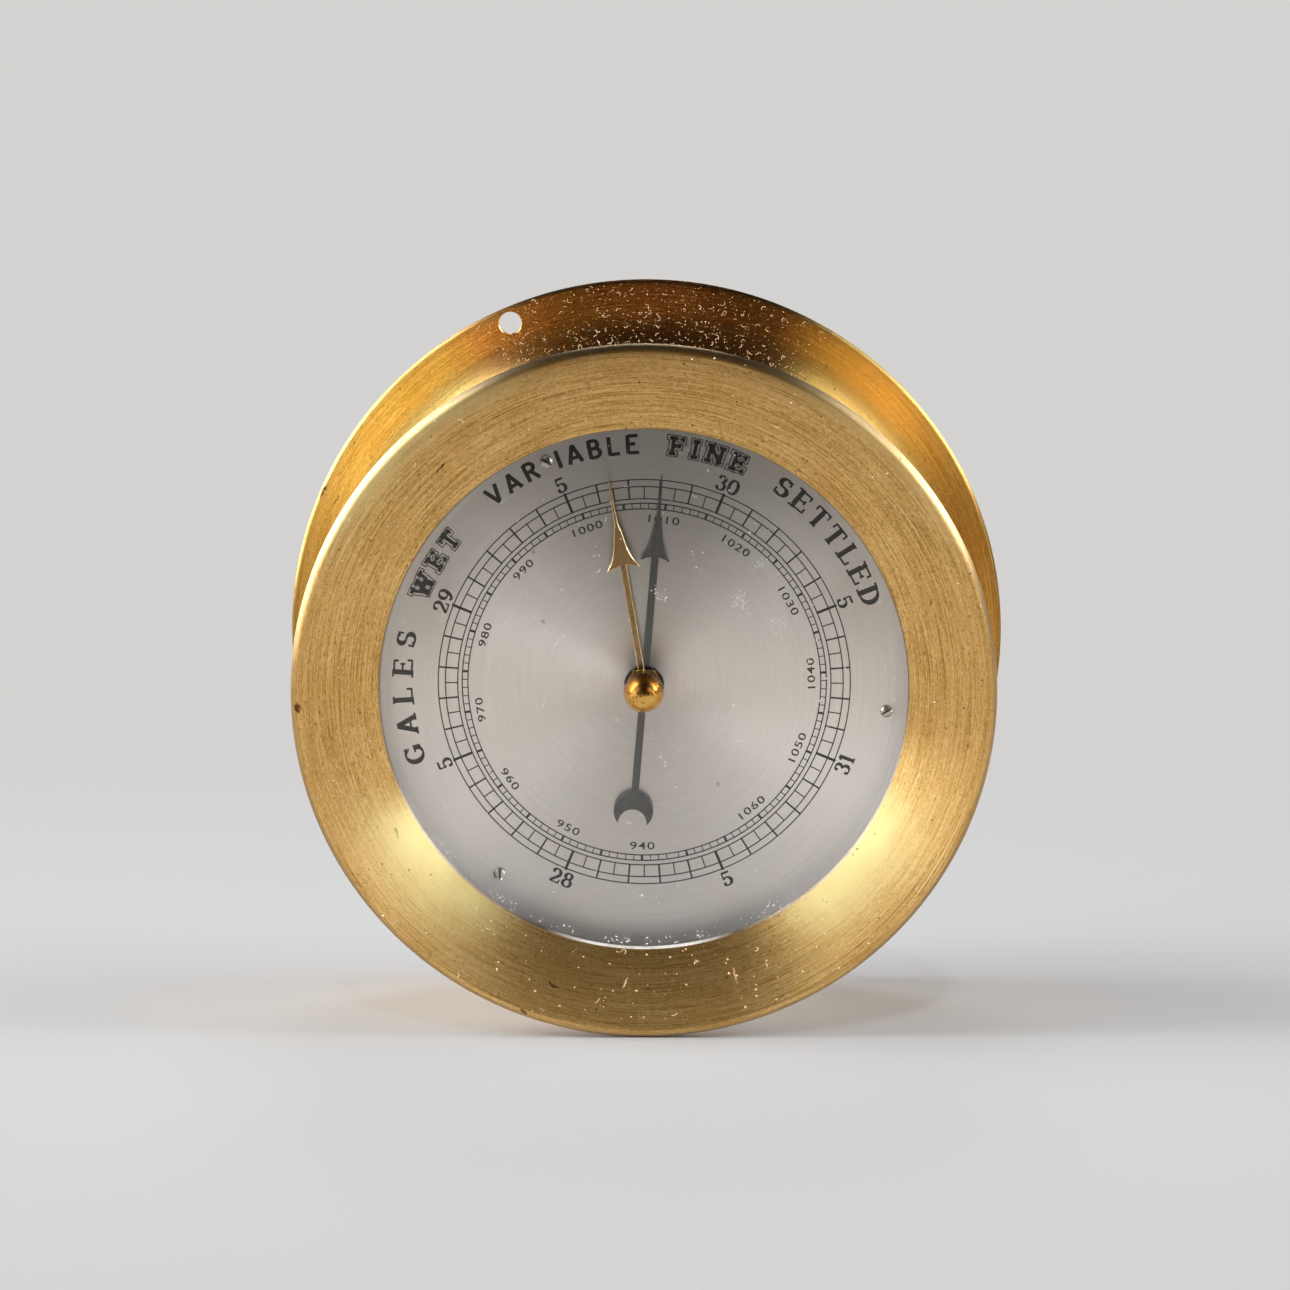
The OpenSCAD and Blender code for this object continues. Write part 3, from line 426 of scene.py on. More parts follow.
bezelLook = {
    **brushLook, "light": (1.0, 0.66, 0.25), "shade": (0.56, 0.30, 0.068), "roughness": 0.37,
    "lineWidth": 0.00015, "lineDepth": 0.00001, "contrast": (2.1, 2.72), "glint": (1.0, 0.82, 0.46),
    "pitShare": 0.02, "cloudShare": 0.4, "rim": (0.0748, 0.0756), "rimShare": 0.85,
    "rimTone": (0.46, 0.34, 0.22), "nose": (0.05734, 0.05722), "noseTone": (0.42, 0.34, 0.25),
    # Rings: dark lines painted as the shade of turned grooves at the lower right
    "rings": ((0.0722, 0.00013, 130, 0.86, 0.95), (0.0731, 0.0001, 122, 0.9, 0.97),
              (0.0738, 0.00014, 140, 0.8, 0.93)),
    # Painted light on the bezel: painted highlights of the broad fans at 131 and 229 and of the rim at 318
    # and 43, and painted shade at the top near 358
    "paintedLight": ((131.0, 0.93, 0.99, 0.0725, 0.060, (1.0, 0.83, 0.36), "MIX"),
               (229.0, 0.93, 0.99, 0.0735, 0.060, (1.0, 0.85, 0.38), "MIX"),
               (318.0, 0.9, 0.985, 0.0700, 0.0748, (1.0, 0.80, 0.36), "MIX"),
               (43.0, 0.9, 0.985, 0.0712, 0.0752, (1.0, 0.72, 0.31), "MIX"),
               (358.0, 0.78, 0.93, 0.0705, 0.0745, (0.74, 0.72, 0.74), "MULTIPLY")),
    "marks": (((-74.5, -3.0, 1.3, 0.6, 90), (0.2, 0.06, 0.025), 0.95),
              ((-43.5, 49.0, 1.7, 0.2, 57), darkNick, 0.95), ((-4.1, -64.2, 1.4, 0.2, 62), paleFleck, 0.9),
              ((19.8, -62.2, 1.3, 0.3, 105), paleFleck, 0.9), ((-9.9, -68.0, 0.8, 0.25, 40), paleFleck, 0.8),
              ((-19.6, -64.5, 1.6, 0.3, -22), darkNick, 0.8), ((-26.1, -70.0, 0.9, 0.35, -60), darkNick, 0.8),
              ((11.5, -59.5, 0.5, 0.3, 0), paleFleck, 0.8), ((-53.6, -31.0, 1.0, 0.3, 110), darkNick, 0.5),
              ((-57.0, 30.6, 1.1, 0.15, 40), darkNick, 0.8), ((-48.9, 31.6, 0.7, 0.2, 50), redStain, 0.8),
              ((61.5, 20.0, 0.7, 0.2, 100), darkNick, 0.7))}
coverLook = {**caseLook, "light": (0.86, 0.62, 0.24), "shade": (0.60, 0.39, 0.10), "roughness": 0.36,
             "rim": (0.2, 0.3), "paintedLight": (), "marks": ()}


# Brass that was turned and brushed on the lathe and has aged: lines, clouds, pits, stray scratches,
# a rim and a nose with their own tone, painted highlights and painted shade by turn, single marks, and rings
# of painted groove shade
def brushedBrass(name, look):
    material, shader, _, position = newMaterial(name)
    lines = useGroup(latheLines, position, look["lineWidth"], look["arcs"])
    dashes = useGroup(latheLines, position, look["dashWidth"], look["dashArcs"])["Lines"]
    cloud, pits, scratches = wearAt(position, look)
    radius, unit = awayFromAxis(position)
    mixed = plus(*(times(lines[label], share) for label, share in look["lineShares"].items()))
    light, shade, roughness = look["light"], look["shade"], look["roughness"]
    colour = paint(ramp(mixed, *look["contrast"]), shade, light)
    # Bright strokes of the brush tinted as painted glints; dark strokes darken the grain
    colour = paint(ramp(dashes, *look["brightDash"]), colour, look["glint"])
    colour = paint(ramp(dashes, *look["darkDash"]), colour, tint(shade, look["dashTint"]))
    middle = tuple((a + b) / 2 for a, b in zip(light, shade))
    colour = paint(times(cloud, look["cloudShare"]), colour, tint(middle, look["stainTint"]))
    # Painted highlights and painted shade, each over its span of turns and radii
    for turn, low, high, fromRadius, toRadius, tone, mode in look["paintedLight"]:
        there = times(turnMask(unit, turn, low, high), ramp(radius, fromRadius, toRadius),
                      ramp(cloud, *look["placeBreaks"]))
        colour = paint(there, colour, tone, mode)
    colour = paint(times(pits, look["pitFull"]), colour, look["pitTone"])
    colour = paint(times(scratches, look["scratchFull"]), colour, look["scratchTone"])
    edges = times(ramp(radius, *look["rim"]), ramp(lines["Bands"], *look["rimBreaks"]))
    colour = paint(times(edges, look["rimShare"]), colour, look["rimTone"])
    if look["nose"]:
        nose = ramp(radius, *look["nose"])
        edges = math2("MAXIMUM", edges, nose)
        colour = paint(nose, colour, look["noseTone"])
        dusty = times(nose, times(turnMask(unit, *look["dustTurn"]), ramp(cloud, *look["dustBreaks"])))
        colour = paint(dusty, colour, look["dustTone"])
    else:
        dusty = times(radius, 0.0)
    wobble = scaled(noise(position, look["wobbleScale"], 2.0, output="Color"), look["wobble"])
    uneasy = vector2("ADD", position, vector2("SUBTRACT", wobble, (look["wobble"] / 2,) * 3))
    hurt = pits
    for mark, tone, share in look["marks"]:
        there = times(markMask(uneasy, mark), share)
        colour = paint(there, colour, tone)
        if tone == paleFleck:
            dusty = math2("MAXIMUM", dusty, there)
        else:
            hurt = math2("MAXIMUM", hurt, there)
    # Dark rings painted as the shade of turned grooves, only in one span of turns
    for ring, half, turn, low, high in look["rings"]:
        off = math2("ABSOLUTE", math2("SUBTRACT", radius, ring))
        there = times(ramp(off, half, half * look["ringFade"]), turnMask(unit, turn, low, high),
                      ramp(lines["Streaks"], *look["ringBreaks"]))
        colour = paint(there, colour, look["grooveShadeTone"])
    rough = ramp(mixed, *look["roughAt"], *(roughness * k for k in look["roughTo"]))
    height = plus(lines["Lines"], times(lines["Streaks"], look["streakDepth"]),
                  times(dashes, look["dashDepth"]))
    height = math2("SUBTRACT", height, times(hurt, look["hurtDepth"]))
    feed(shader, {"Base Color": colour, "Normal": bumpFrom(height, look["lineDepth"]),
                  "Roughness": plus(rough, times(math2("MAXIMUM", hurt, edges), look["hurtRough"])),
                  "Metallic": ramp(dusty, *look["dustMetal"]),
                  "Tangent": acrossCut(position), "Anisotropic": look["anisotropy"]})
    return material


# Full is the share that a stain, a pit or a scratch has of the colour where it is strongest
worksLook = {"cloudSize": 0.006, "cloudFull": 0.6, "pitSize": 0.0004, "pitShare": 0.05, "pitDepth": 0.000004,
             "scratchTurn": 1.1, "scratches": 0.5, "scratchFull": 0.5, "stretch": (0.12, 0.5, 1.0),
             "grain": 0.00012, "grainShare": 0.25, "grainTint": 0.7, "scratchTint": 1.4,
             "roughTo": (0.85, 1.15), "stainRough": 0.12, "slotShadeTone": (0.03, 0.025, 0.02)}
silverLook = {"lineWidth": 0.00016, "arcs": 2.5, "lineDepth": 0.000002, "lineTint": 0.86, "cloudSize": 0.02,
              "cloudFull": 0.35, "cloudTint": (0.97, 0.93, 0.86), "pitSize": 0.0007, "pitShare": 0.004,
              "pitFull": 0.5, "pitTone": (0.2, 0.17, 0.13), "shadeTurn": (5, 0.66, 0.985),
              "shadeRadius": (0.012, 0.036), "roughTo": (0.94, 1.06)}
bluedLook = {"cloudSize": 0.003, "cloudTint": 1.35, "pitSize": 0.00035, "pitShare": 0.06, "pitFull": 0.6,
             "pitTone": (0.03, 0.02, 0.015), "scratchTurn": 0.3, "scratches": 0.7, "scratchFull": 0.6,
             "scratchTone": (0.36, 0.36, 0.34), "depth": 0.00001, "metallic": 0.85, "roughTo": (0.85, 1.2),
             "strength": 0.5}
polishLook = {"cloudSize": 0.003, "cloudFull": 0.7, "cloudTint": (0.7, 0.55, 0.4), "pitSize": 0.00028,
              "pitFull": 0.8, "pitTone": (0.05, 0.025, 0.01), "pitDepth": 0.00002, "scratchTurn": 0.9,
              "scratches": 0.6, "stainRough": 1.9, "scratchRough": 0.12, "topShadeRough": 0.06,
              "topShadeScale": 1300.0, "topShadeWander": 0.0028}
glassLook = {"tone": (0.985, 0.99, 0.985, 1), "shadowTone": (0.96, 0.965, 0.96, 1), "refraction": 1.5,
             "greaseSize": 0.018, "greaseRough": 0.03}
mattLook = {"paleTint": 2, "lift": 0.02, "roughTo": (0.85, 1.1), "depthShare": 0.05, "strength": 0.5,
            "sheen": 0.15}


# Plain metal of the works: milled or turned, with soft stains and faint scratches. Grain is the
# width of its fine lines in metres, and slots are marks of painted shade, as in the slots of screw heads
def worksMetal(name, tone, roughness, stainTone, grain=worksLook["grain"], slots=()):
    look = worksLook
    material, shader, _, position = newMaterial(name)
    cloud, pits, scratches = wearAt(position, look)
    fine = noise(vector2("MULTIPLY", position, tuple(k / grain for k in look["stretch"])), 1.0, 2.0)
    colour = paint(ramp(fine, *noiseSpan, 0.0, look["grainShare"]), tone, tint(tone, look["grainTint"]))
    colour = paint(times(cloud, look["cloudFull"]), colour, stainTone)
    colour = paint(times(scratches, look["scratchFull"]), colour, tint(tone, look["scratchTint"]))
    # Painted shade in each screw slot
    for slot in slots:
        colour = paint(markMask(position, slot), colour, look["slotShadeTone"])
    rough = ramp(fine, *noiseSpan, *(roughness * k for k in look["roughTo"]))
    feed(shader, {"Base Color": colour, "Roughness": plus(rough, times(cloud, look["stainRough"])),
                  "Metallic": 1.0, "Normal": bumpFrom(math2("SUBTRACT", fine, pits), look["pitDepth"])})
    return material


# Silvered dial plate: a fine spun grain, a little yellowing and small stains, and painted shade that darkens
# the top
def silveredPlate(name, tone, roughness, anisotropy, topShadeShare):
    look = silverLook
    material, shader, _, position = newMaterial(name)
    lines = useGroup(latheLines, position, look["lineWidth"], look["arcs"])
    stain = useGroup(tarnish, position, look["cloudSize"], look["pitSize"], look["pitShare"])
    colour = paint(ramp(lines["Lines"], *noiseSpan), tint(tone, look["lineTint"]), tone)
    colour = paint(times(stain["Cloud"], look["cloudFull"]), colour, tint(tone, look["cloudTint"]))
    colour = paint(times(stain["Pits"], look["pitFull"]), colour, look["pitTone"])
    radius, unit = awayFromAxis(position)
    # Painted shade over the dial's upper part
    up = times(turnMask(unit, *look["shadeTurn"]), ramp(radius, *look["shadeRadius"]))
    feed(shader, {"Base Color": paint(up, colour, (topShadeShare,) * 3, "MULTIPLY"), "Metallic": 1.0,
                  "Roughness": ramp(lines["Bands"], *noiseSpan, *(roughness * k for k in look["roughTo"])),
                  "Tangent": acrossCut(position), "Anisotropic": anisotropy,
                  "Normal": bumpFrom(lines["Lines"], look["lineDepth"])})
    return material


# Blued or painted steel of the pointer: dark, half matt, worn pale along stray rubs
def bluedSteel(name, tone, roughness):
    look = bluedLook
    material, shader, _, position = newMaterial(name)
    cloud, pits, scratches = wearAt(position, look)
    colour = paint(cloud, tone, tint(tone, look["cloudTint"]))
    colour = paint(times(scratches, look["scratchFull"]), colour, look["scratchTone"])
    feed(shader, {"Base Color": paint(times(pits, look["pitFull"]), colour, look["pitTone"]),
                  "Roughness": ramp(cloud, 0.0, 1.0, *(roughness * k for k in look["roughTo"])),
                  "Metallic": look["metallic"], "Normal": bumpFrom(cloud, look["depth"], look["strength"])})
    return material


# Polished brass with a thin tarnish, small dark pits and hairline scratches. TopShade says from which
# height a piece is darker, as painted shade of its top, over what width, and by what tone
def polishedBrass(name, tone, roughness, pitShare, topShade=None):
    look = polishLook
    material, shader, _, position = newMaterial(name)
    cloud, pits, scratches = wearAt(position, {**look, "pitShare": pitShare})
    colour = paint(times(cloud, look["cloudFull"]), tone, tint(tone, look["cloudTint"]))
    colour = paint(times(pits, look["pitFull"]), colour, look["pitTone"])
    rough = plus(ramp(cloud, 0.0, 1.0, roughness, roughness * look["stainRough"]),
                 times(scratches, look["scratchRough"]))
    if topShade:
        # Painted shade on the top of the piece, above a wandering level
        level, fade, topShadeTone = topShade
        wander = times(noise(position, look["topShadeScale"], 4.0), look["topShadeWander"])
        start = level + look["topShadeWander"] / 2
        above = ramp(plus(axes(position)[2], wander), start, start + fade)
        colour = paint(above, colour, topShadeTone, "MULTIPLY")
        rough = plus(rough, times(above, look["topShadeRough"]))
    feed(shader, {"Base Color": colour, "Roughness": rough, "Metallic": 1.0,
                  "Normal": bumpFrom(times(pits, -1.0), look["pitDepth"])})
    return material


# Flat glass that lets the lamps through to the dial, a little greasy in patches
def clearGlass(name):
    look = glassLook
    material, shader, output, position = newMaterial(name)
    tree = material.node_tree
    grease = useGroup(tarnish, position, look["greaseSize"], 0.001, 0.0)["Cloud"]
    feed(shader, {"Roughness": ramp(grease, 0.0, 1.0, 0.0, look["greaseRough"]), "IOR": look["refraction"],
                  "Base Color": look["tone"], "Transmission Weight": 1.0})
    clear = put(tree, "BsdfTransparent", {"Color": look["shadowTone"]})
    shadow = put(tree, "LightPath").outputs["Is Shadow Ray"]
    feed(output, {0: mixShader(shadow, shader, clear).outputs[0]})
    return material


# Matt things: printing ink, rubber and dust, each with a fine mottle of a size in metres
def mattStuff(name, tone, roughness, mottle, size):
    look = mattLook
    material, shader, _, position = newMaterial(name)
    grain = noise(position, 1 / size, 3.0)
    colour = paint(ramp(grain, *noiseSpan, 0.0, mottle), tone, tint(tone, look["paleTint"], look["lift"]))
    feed(shader, {"Base Color": colour, "Specular IOR Level": look["sheen"],
                  "Roughness": ramp(grain, *noiseSpan, *(min(1, roughness * k) for k in look["roughTo"])),
                  "Normal": bumpFrom(grain, size * look["depthShare"], look["strength"])})
    return material


# Painted shade in the slots of the dial screws, as marks, and the painted shade on the knob's top
slotShades = ((-21.05, 48.64, 1.6, 0.26, -33), (-31.6, -42.55, 1.6, 0.26, 90), (52.65, -6.09, 1.6, 0.26, 30))
knobTopShade = (0.0002, 0.0006, (0.44, 0.33, 0.22))
caseBrass = brushedBrass("caseBrass", caseLook)
coverBrass = brushedBrass("coverBrass", coverLook)
bezelBrass = brushedBrass("bezelBrass", bezelLook)
worksBrass = worksMetal("worksBrass", (0.78, 0.56, 0.24), 0.3, (0.55, 0.36, 0.13))
worksSteel = worksMetal("worksSteel", (0.6, 0.6, 0.6), 0.28, (0.42, 0.4, 0.37))
nickelled = worksMetal("nickelled", (0.66, 0.62, 0.55), 0.15, (0.45, 0.4, 0.33), 0.0001, slotShades)
springSteel = bluedSteel("springSteel", (0.055, 0.075, 0.12), 0.32)
pointerBlue = bluedSteel("pointerBlue", (0.062, 0.064, 0.062), 0.42)
hubBlue = bluedSteel("hubBlue", (0.035, 0.03, 0.026), 0.36)
knobBrass = polishedBrass("knobBrass", (0.80, 0.47, 0.125), 0.19, 0.35, knobTopShade)
handBrass = polishedBrass("handBrass", (0.40, 0.235, 0.065), 0.2, 0.3)
# Paler brass for the set hand's filed edges, as their painted highlight
handEdgeHighlight = polishedBrass("handEdgeHighlight", (0.95, 0.70, 0.34), 0.24, 0.05)
dialSilver = silveredPlate("dialSilver", (0.95, 0.90, 0.865), 0.34, 0.92, 0.64)
sightSilver = silveredPlate("sightSilver", (0.78, 0.77, 0.75), 0.2, 0.4, 1.0)
paneGlass = clearGlass("paneGlass")
gasketRubber = mattStuff("gasketRubber", (0.03, 0.03, 0.03), 0.7, 0.5, 0.0006)
printInk = mattStuff("printInk", (0.004, 0.004, 0.004), 0.6, 0.25, 0.0004)
glintBrass = worksMetal("glintBrass", (1.0, 0.78, 0.45), 0.38, (0.9, 0.6, 0.3))
paleDust = mattStuff("paleDust", (0.97, 0.88, 0.72), 0.8, 0.2, 0.0003)
crumbDust = mattStuff("crumbDust", (0.97, 0.70, 0.42), 0.8, 0.2, 0.0003)
whiteDust = worksMetal("whiteDust", (1.0, 0.98, 0.93), 0.55, (0.95, 0.92, 0.85))

nodeFinish = {
    caseBrass: "case_shell", coverBrass: "back_cover", bezelBrass: "bezel", knobBrass: "knob",
    handBrass: "set_hand", pointerBlue: "pointer", hubBlue: "pointer_hub", dialSilver: "dial",
    sightSilver: "sight_ring", paneGlass: "glass", gasketRubber: "glass_gasket",
    nickelled: "dial_screws", springSteel: "main_spring compensation_strip",
    worksBrass: "seat_ring back_screws post_screws dial_pillars base_posts knob_bush bush_nut "
                "train_pillars frame_pillars base_plate train_plate top_bridge hairspring_collet "
                "hairspring_stud sector_gear capsule_foot capsule_stud spring_bridge spring_clamp "
                "main_lever rock_brackets adjusting_bush",
    worksSteel: "knob_spindle spring_washer pointer_arbor hairspring sector_arbor train_screws "
                "base_screws capsule stud_key bridge_screws clamp_screws lever_rivets link_rod "
                "link_upper_pin link_lower_pin rock_shaft bracket_screws adjusting_screw"}
for material, names in nodeFinish.items():
    for name in names.split():
        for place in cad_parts[name].material_slots:
            place.material = material
print("materials made:", len(nodeFinish))


# Case: a spun shell with its flare and wall holes, in mm and degrees
caseShape = {"sheet": 1.5, "flatBand": 6.4, "drumInset": 14.5, "holeRadius": 2.55, "holeRing": 77.2,
             "holeTurns": (336.6, 96.6, 216.6), "holeChamfer": 0.12, "rimRound": 0.35, "lipRound": 0.25,
             "columns": 600, "bandRows": 12, "flareSteps": 28, "rimSteps": 8, "patchColumns": 5,
             "patchShares": (0.6, 0.3, 0.1, 0.0)}


# The flange's radius, kept inside the CAD's box on both its sides, the radius where its flat band
# ends, and the radius of the flare's quarter circle
def flareSizes():
    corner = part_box("case_shell")[1]
    rimR = min(corner.x, corner.z) / mm
    bandR = rimR - caseShape["flatBand"]
    return rimR, bandR, bandR - (radiusOf("bezel") - caseShape["drumInset"])


# Closed profile of the shell carried round the axis, with a round hole in the flat band at each
# turn: the cells there give way to rings that blend from the border of the gap to the circle
def caseSurface():
    s = caseShape
    rimR, bandR, cove = flareSizes()
    sheet, n, lip, k = s["sheet"], s["bandRows"], s["lipRound"], s["rimRound"]
    drumR, top = radiusOf("bezel") - s["drumInset"], frontOf("case_shell")
    back, flare = drumR - sheet, (bandR, cove + sheet)
    outerBand = np.stack([np.linspace(rimR - k, bandR, n + 1), np.full(n + 1, sheet)], axis=1)
    innerBand = np.stack([np.linspace(bandR, rimR - k, n + 1), np.zeros(n + 1)], axis=1)
    outerFlare = arc(flare, cove, 270, 180, s["flareSteps"])[1:]
    innerFlare = arc(flare, cove + sheet, 180, 270, s["flareSteps"])[:-1]
    drumTop = [[drumR, flare[1] + 0.6], [drumR, top - lip - 0.1], [drumR, top - lip], [drumR - lip, top],
               [back + lip, top], [back, top - lip], [back, top - lip - 0.1], [back, flare[1] + 0.6]]
    rim = arc((rimR - k, k), k, -90, 90, s["rimSteps"])[1:-1]
    profile = np.vstack([outerBand, outerFlare, drumTop, innerFlare, innerBand, rim]) * mm
    innerStart = len(profile) - len(rim) - len(innerBand)
    rows, columns, half = len(profile), s["columns"], s["patchColumns"]
    made = [spin(profile, columns)]
    index = np.arange(rows * columns).reshape(rows, columns)
    keep = np.ones((rows, columns), bool)
    share = np.array(s["patchShares"])
    extra, total, hardRings = [], rows * columns, []
    for turn in s["holeTurns"]:
        span = (np.arange(-half, half + 1) + int(round(turn / 360 * columns))) % columns
        edges = []
        for start, height, chamfer in ((0, sheet, s["holeChamfer"]), (innerStart, 0.0, 0.0)):
            keep[np.ix_(range(start, start + n), span[:-1])] = False
            border = np.concatenate([index[start, span], index[start + 1:start + n, span[-1]],
                                     index[start + n, span[::-1]], index[start + n - 1:start:-1, span[0]]])
            centre = polar(s["holeRing"] * mm, math.radians(turn), height * mm)
            away = made[0][border] - centre
            away[:, 1] = 0
            unit = away / np.linalg.norm(away, axis=1)[:, None]
            circle = centre + unit * (s["holeRadius"] + chamfer) * mm
            grid = circle[None] + (made[0][border] - circle)[None] * share[:, None, None]
            if chamfer:
                inner = centre + unit * s["holeRadius"] * mm + np.array([0, chamfer * mm, 0])
                grid = np.concatenate([grid, inner[None]])
            count = grid.shape[0] * len(border)
            ids = np.vstack([border, total + np.arange(count).reshape(-1, len(border))])
            made.append(grid.reshape(-1, 3))
            total += count
            extra.append(gridCells(ids).reshape(-1, 4))
            hardRings += list(ids[len(share):])
            edges.append(ids[-1])
        points = np.vstack(made)
        front, rear = edges
        gap = np.linalg.norm(points[front][:, None, ::2] - points[rear][None, :, ::2], axis=2)
        extra.append(gridCells(np.stack([front, rear[np.argmin(gap, axis=1)]]))[0])
    rowOf = np.zeros(total, int)
    for number, ring in enumerate(hardRings):
        rowOf[ring] = number + 1
    hard = np.append([False], np.ones(len(hardRings), bool))
    return np.vstack(made), [gridCells(index, True)[keep].reshape(-1, 4), np.vstack(extra)], (rowOf, hard)


points, faces, sharp = caseSurface()
makePiece("caseShell", points, faces, caseBrass, "case", ["case_shell"], sharp)
print("case shell turned:", len(points), "points")


# Bezel: dished face, rounded edge and the thread band behind. Waist and edge are circles of
# (radius, height, radius of the round), and full is how far the face swells in its middle
bezelShape = {"dish": (57.3, 69.49), "dishOut": (73.8, 74.43), "lip": (57.0, 69.1), "lipBack": 67.8,
              "seat": 61.6, "skirt": 55.8, "skirtRadius": 63.3, "skirtChamfer": 0.4,
              "waist": (74.3, 60.5, 10.6), "waistSteps": 22, "edge": (74.3, 72.8, 1.7),
              "edgeSpan": (-80, 106.65), "edgeSteps": 18, "full": 0.42, "faceRows": 26,
              "noseRound": 0.07, "columns": 720}


# Profile in words: up the skirt, a quarter circle out to the widest place, round the edge, down the
# dished face, which is a little full in its middle, to the lip, and back along the thread band
def bezelProfile():
    s = bezelShape
    waist, edge, cut, back = s["waist"], s["edge"], s["skirtChamfer"], [s["seat"], s["lipBack"]]
    body = np.vstack([[[s["seat"], s["skirt"]], [s["skirtRadius"], s["skirt"]],
                       [s["skirtRadius"] + cut, s["skirt"] + cut]],
                      arc(waist[:2], waist[2], 180, 91, s["waistSteps"]),
                      arc(edge[:2], edge[2], *s["edgeSpan"], s["edgeSteps"])])
    nose = soften([body[-1], s["dish"], s["lip"], [s["lip"][0], s["lipBack"]], back, body[0]],
                  s["noseRound"], 3)
    keep = nose[nose[:, 0] < s["seat"] - 0.1]
    share = np.linspace(0, 1, s["faceRows"])[1:-1, None]
    face = body[-1] + (keep[0] - body[-1]) * share + np.array([0, 4 * s["full"]]) * share * (1 - share)
    return np.vstack([body, face, keep, [back]]) * mm


lathe("bezelRing", bezelProfile(), bezelShape["columns"], bezelBrass, "case", ["bezel"])
print("bezel turned")


# Knob on the spindle and the pointer's hub
knobShape = {"radius": 4.3, "neck": 0.62, "domeHeight": 2.6, "domeFrom": -26, "domeSteps": 34, "step": 0.9,
             "bore": 1.21, "roofGap": 0.02, "columns": 96}
hubShape = {"step": 0.8, "bore": 0.9, "roof": 0.5, "neck": 1.9, "flat": 0.5, "round": 0.22, "columns": 96}


# Profile in words: the bore's roof, down the bore, out under the cap, up a short neck, and the dome
def knobProfile():
    s = knobShape
    low, roof, neck = backOf("knob"), frontOf("knob_spindle") + s["roofGap"], s["radius"] * s["neck"]
    dome = arc((0, low + s["domeHeight"]), s["radius"], s["domeFrom"], 90, s["domeSteps"])
    return np.vstack([[[0, roof], [s["bore"], roof], [s["bore"], low], [neck, low], [neck, low + s["step"]]],
                      dome[:-1], [[0, dome[-1, 1]]]]) * mm


# Profile in words: the bore's roof, down the bore, up the neck, out under the disc and over its top
def hubProfile():
    s = hubShape
    low, high, wide = backOf("pointer_hub"), frontOf("pointer_hub"), radiusOf("pointer_hub")
    step, bore, roof, neck = high - s["step"], s["bore"], high - s["roof"], s["neck"]
    top = soften([[neck, step], [wide, step], [wide, high], [s["flat"], high]], s["round"], 5)
    return np.vstack([[[0, roof], [bore, roof], [bore, low], [neck, low], [neck, step]],
                      top[1:-1], [[0, high]]]) * mm


lathe("knobCap", knobProfile(), knobShape["columns"], knobBrass, "set_hand", ["knob"])
lathe("pointerHub", hubProfile(), hubShape["columns"], hubBlue, "pointer", ["pointer_hub"])


# Hands: flat plates with filed edges, in mm and degrees
handShape = {"thickness": 0.4, "bevel": 0.14, "inset": 0.17, "mostInset": 0.3, "farthest": 9.0,
             "facing": 0.6, "bluntest": 0.7}
setHandShape = {"length": 45.6, "stem": 1.4, "head": 7.2, "barb": 26.6, "turn": -9.6, "hub": 2.6,
                "foot": 1.5, "lift": 0.4, "hubRound": 0.1, "columns": 64}
pointerShape = {"length": 46.0, "stem": 1.6, "head": 6.3, "barb": 27.8, "turn": 4.8, "disc": 3.4,
                "tail": -28.29, "crescent": 4.3, "bite": 3.1, "biteDrop": 2.75, "bar": 0.8,
                "steps": (20, 18, 14)}
# Sides of an arrow: half width and distance below the tip, half width of the neck and its height
# above the barb, the stem's foot above it, and for the head shares of its width with heights
tipSides, neck, stemFoot = ((0.1, 0), (0.2, 2), (0.33, 7)), (0.42, 9.5), 0.3
headSides = ((0.11, 8), (0.15, 6.4), (0.2, 4.3), (0.265, 2.6), (0.36, 1.1), (0.46, 0.1), (0.5, -0.35),
             (0.47, -0.6), (0.34, -0.1), (0.2, 0.2))


# Right half of an arrow, from the tip down to its stem's foot
def arrowHalf(s):
    barb = s["barb"]
    return np.array([*([half, s["length"] - down] for half, down in tipSides), [neck[0], barb + neck[1]],
                     *([s["head"] * share, barb + up] for share, up in headSides),
                     [s["stem"] / 2, barb + stemFoot]])


# A right half and its mirror image, joined at the middle line
def wholeOf(right):
    left = right[::-1] * np.array([-1, 1])
    return np.vstack([right, left[left[:, 0] < -1e-6]])


